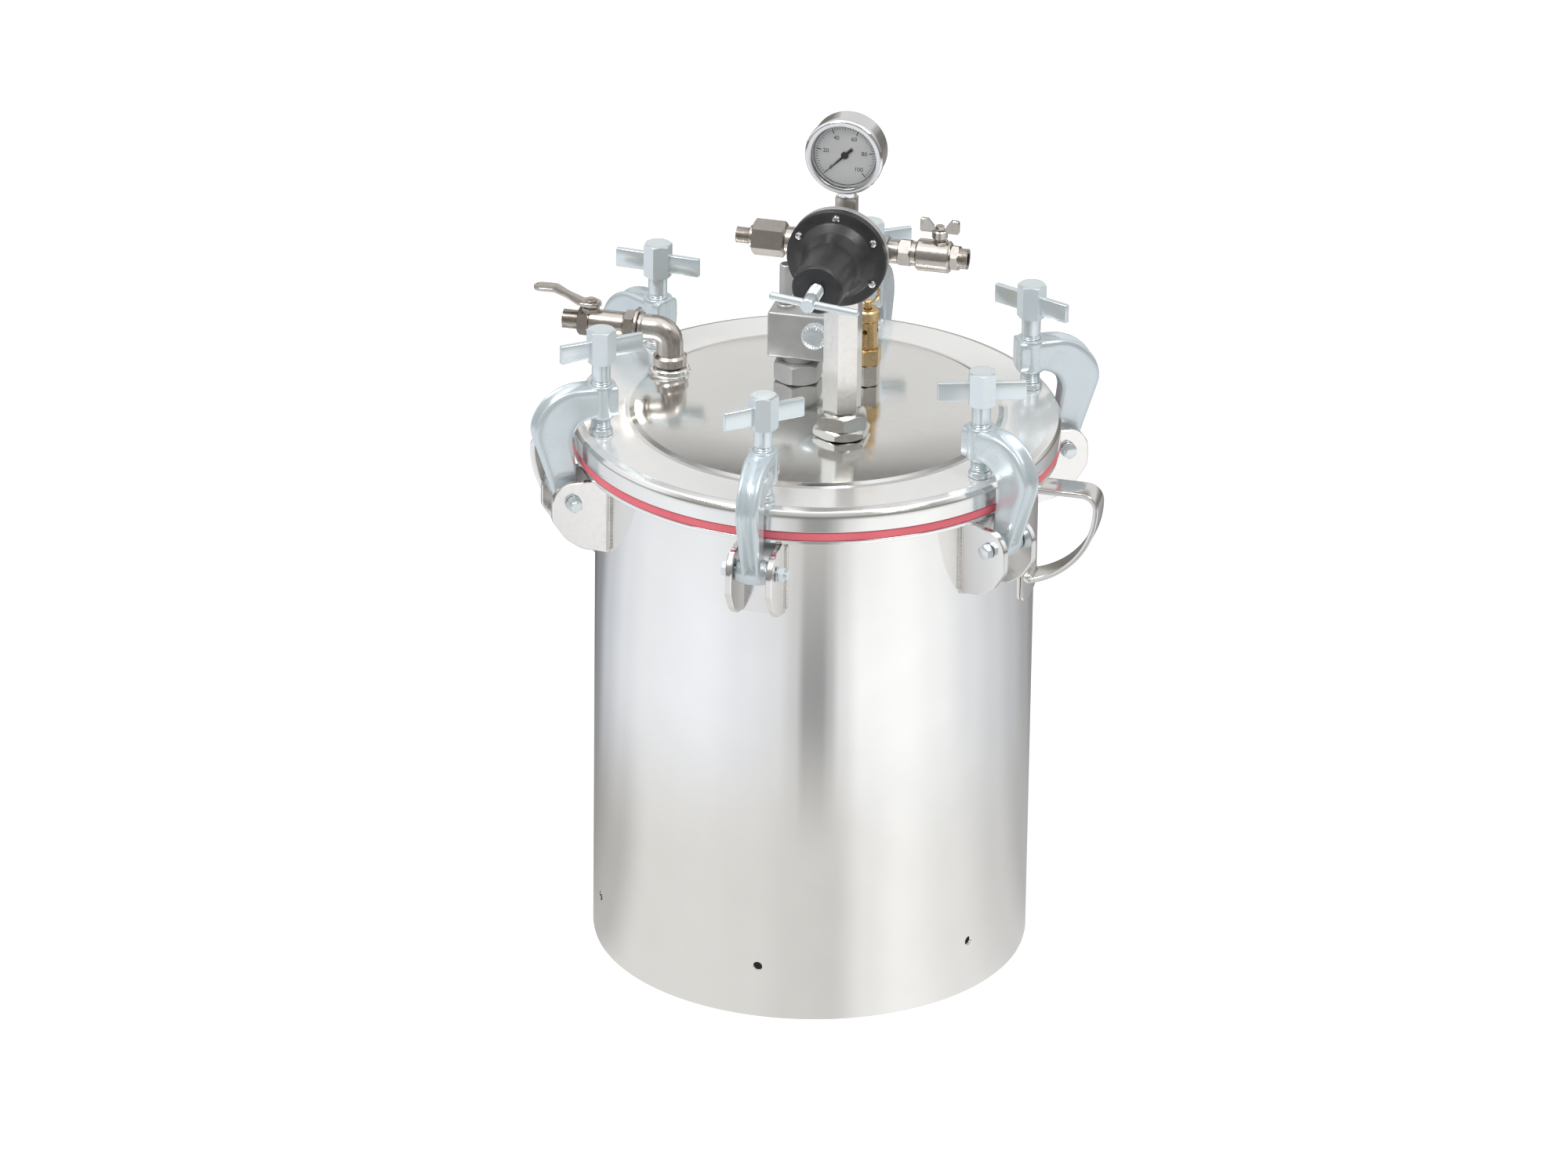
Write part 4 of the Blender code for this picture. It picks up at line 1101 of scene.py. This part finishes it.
def fluid_outlet():
    at = fluid_axis()
    face = high("fluid_valve_body").x - 0.0075
    stem_x = JOINT["fluid_valve_turn"]["pos_m"][0]
    fluid_elbow(at, face)
    refinish("siphon_tube", "handle")
    fluid_valve(at, face, stem_x)
    fluid_lever(at, stem_x)


# ---- studio


def ramp(tree, source, stops):
    """Greys by a factor; a stop is (place, value) or (place, value, warmth)."""
    scale = tree.nodes.new("ShaderNodeValToRGB")
    scale.color_ramp.interpolation = "EASE"
    points = scale.color_ramp.elements
    while len(points) < len(stops):
        points.new(0.5)
    for point, (place, value, *more) in zip(points, stops):
        warm = more[0] if more else 0.0
        point.position = place
        point.color = (value * (1 + warm), value, value * (1 - 2 * warm), 1)
    tree.links.new(source, scale.inputs["Fac"])
    return scale.outputs["Color"]


def distance_from_centre(tree):
    """How far a point is from its object's origin."""
    reach = tree.nodes.new("ShaderNodeVectorMath")
    reach.operation = "LENGTH"
    tree.links.new(tree.nodes.new("ShaderNodeTexCoord").outputs["Object"], reach.inputs[0])
    return reach.outputs["Value"]


def blended(tree, factor, first, second):
    mixed = mixer(tree, factor)
    tree.links.new(first, mixed.inputs["A"])
    tree.links.new(second, mixed.inputs["B"])
    return mixed.outputs["Result"]


def between(tree, source, start, end):
    """0 up to start and 1 from end on, smoothly."""
    step = put(tree.nodes.new("ShaderNodeMapRange"), From_Min=start, From_Max=end)
    step.interpolation_type = "SMOOTHSTEP"
    tree.links.new(source, step.inputs["Value"])
    return step.outputs["Result"]


def floor():
    """A white sweep with a painted shadow under the tank. It lights the metal, which mirrors the reflector in
    its place.
    """
    shape = bmesh.new()
    bmesh.ops.create_grid(shape, x_segments=1, y_segments=1, size=30)
    ground = made("floor", shape)
    paint, tree, shader = node_graph("floor_paint")
    # painted shadow: inside the tank's foot the floor's glow and colour fall nearly to black
    outside_painted_shade = between(tree, distance_from_centre(tree), TANK_R - 0.012, TANK_R - 0.002)
    white = ramp(tree, outside_painted_shade, ((0.0, 0.02), (1.0, 1.0)))
    pale = ramp(tree, outside_painted_shade, ((0.0, 0.03), (1.0, 0.3)))
    put(shader, Roughness=0.9, Specular_IOR_Level=0.0, Emission_Strength=0.82)
    tree.links.new(pale, shader.inputs["Base Color"])
    tree.links.new(white, shader.inputs["Emission Color"])
    ground.data.materials.append(paint)
    ground.visible_glossy = False


def reflector():
    """Light and dark cards on the floor, seen only in the metal.

    The round shell spreads what it mirrors as if its rays met at half its radius, so the cards lie as
    sectors round that point, by their angle from the tank's front line.
    """
    front = math.radians(VIEW_AZIMUTH - 90)
    focus = TANK_R / 2
    shape = bmesh.new()
    bmesh.ops.create_circle(shape, cap_ends=True, segments=64, radius=9)
    cards = made("reflector", shape)
    place = Vector((math.cos(front) * focus, math.sin(front) * focus, -0.002))
    cards.matrix_world = Matrix.Translation(place) @ Matrix.Rotation(front, 4, "Z")
    paint, tree, _ = node_graph("reflector_light")
    tree.nodes.clear()
    angle = tree.nodes.new("ShaderNodeTexGradient")
    angle.gradient_type = "RADIAL"
    tree.links.new(tree.nodes.new("ShaderNodeTexCoord").outputs["Object"], angle.inputs["Vector"])
    reach = distance_from_centre(tree)
    far = ramp(tree, angle.outputs["Fac"], [(0.5 + turn / 360, *card) for turn, *card in FAR_CARDS])
    near = ramp(tree, angle.outputs["Fac"], [(0.5 + turn / 360, *card) for turn, *card in NEAR_CARDS])
    edge = tree.nodes.new("ShaderNodeRGB")
    edge.outputs[0].default_value = (0.2, 0.185, 0.165, 1)
    colour = blended(tree, between(tree, reach, 0.36, 0.72), near, far)
    colour = blended(tree, between(tree, reach, 1.4, 3.0), colour, edge.outputs[0])
    glow = tree.nodes.new("ShaderNodeEmission")
    output = tree.nodes.new("ShaderNodeOutputMaterial")
    tree.links.new(colour, glow.inputs["Color"])
    tree.links.new(glow.outputs["Emission"], output.inputs["Surface"])
    cards.data.materials.append(paint)
    cards.visible_camera = cards.visible_diffuse = cards.visible_shadow = cards.visible_transmission = False


# Angle in degrees, value and warmth: what the upper shell mirrors (far) and what its foot mirrors (near)
FAR_CARDS = (
    (-180, 0.22), (-160, 0.18, -0.02), (-145, 0.3, -0.03), (-130, 0.62, -0.03), (-112, 0.82, -0.02),
    (-95, 0.91, -0.015), (-60, 0.98, -0.02), (-36, 0.88, -0.02), (-19, 0.82, -0.01), (-9, 0.66),
    (-4, 0.36), (5, 0.35), (9, 0.52), (15, 0.84), (26, 1.06), (50, 1.09), (68, 1.0), (88, 0.83, -0.01),
    (106, 0.7, -0.015), (122, 0.57, -0.015), (138, 0.42), (152, 0.3), (180, 0.22),
)
NEAR_CARDS = (
    (-180, 0.24), (-145, 0.32, 0.02), (-112, 0.5, 0.02), (-88, 0.76, 0.02), (-58, 0.77, 0.02),
    (-30, 0.75, 0.02), (-10, 0.69, 0.02), (12, 0.67, 0.02), (30, 0.88, 0.01), (47, 0.98, 0.01),
    (76, 0.84, 0.01), (106, 0.66, 0.01), (130, 0.48, 0.01), (180, 0.24),
)


# Sine of the elevation, value and warmth
BEHIND = (
    (0.0, 0.22, 0.04), (0.12, 0.42, 0.03), (0.22, 0.74, 0.01), (0.45, 0.72, 0.01), (0.52, 0.5, 0.01),
    (0.61, 0.25, 0.02), (0.74, 0.36), (0.86, 1.0), (1.0, 1.3),
)
AROUND = (
    (0.0, 0.55), (0.25, 0.85, -0.01), (0.55, 1.05, -0.01), (0.8, 1.1), (1.0, 1.3),
)
BEFORE = (
    (0.0, 0.28, 0.03), (0.6, 0.36, 0.03), (0.72, 0.6, 0.01), (0.84, 1.0), (1.0, 1.3),
)


def softbox(name, at, size, power):
    data = bpy.data.lights.new(name, "AREA")
    data.shape = "RECTANGLE"
    data.size, data.size_y = size
    data.energy = power
    linked(name, data).matrix_world = frame_at(at, Vector(at) - Vector(AIM))


def world():
    """A pale room in front, round and behind the tank, white overhead.

    Behind, it darkens above the height that the lid mirrors, which shades the lid's front crease.
    """
    sky = bpy.data.worlds.new("studio")
    bpy.context.scene.world = sky
    sky.use_nodes = True
    tree = sky.node_tree
    way = tree.nodes.new("ShaderNodeTexCoord").outputs["Generated"]
    turned = put(tree.nodes.new("ShaderNodeMapping"), Rotation=(0, 0, math.radians(-VIEW_AZIMUTH)))
    tree.links.new(way, turned.inputs["Vector"])
    parts = tree.nodes.new("ShaderNodeSeparateXYZ")
    tree.links.new(turned.outputs["Vector"], parts.inputs["Vector"])
    height = parts.outputs["Z"]
    away = between(tree, parts.outputs["Y"], 0.25, 0.6)
    facing = between(tree, parts.outputs["Y"], -0.08, -0.4)
    room = blended(tree, facing, ramp(tree, height, AROUND), ramp(tree, height, BEFORE))
    room = blended(tree, away, room, ramp(tree, height, BEHIND))
    tree.links.new(room, tree.nodes["Background"].inputs["Color"])


def studio():
    world()
    floor()
    reflector()
    softbox("key", (-1.9, -2.2, 4.4), (1.8, 1.8), 92)
    softbox("fill", (2.3, -1.3, 3.9), (1.2, 1.8), 50)
    bpy.context.scene.view_settings.view_transform = "Standard"


camera()
FINISH = materials()
tank()
carry_handles()
lid()
clamps()
riser()
regulator_body()
regulator_bonnet()
regulator_adjuster()
gauge()
air_fittings()
safety_valve()
vent_valve()
fluid_outlet()
studio()
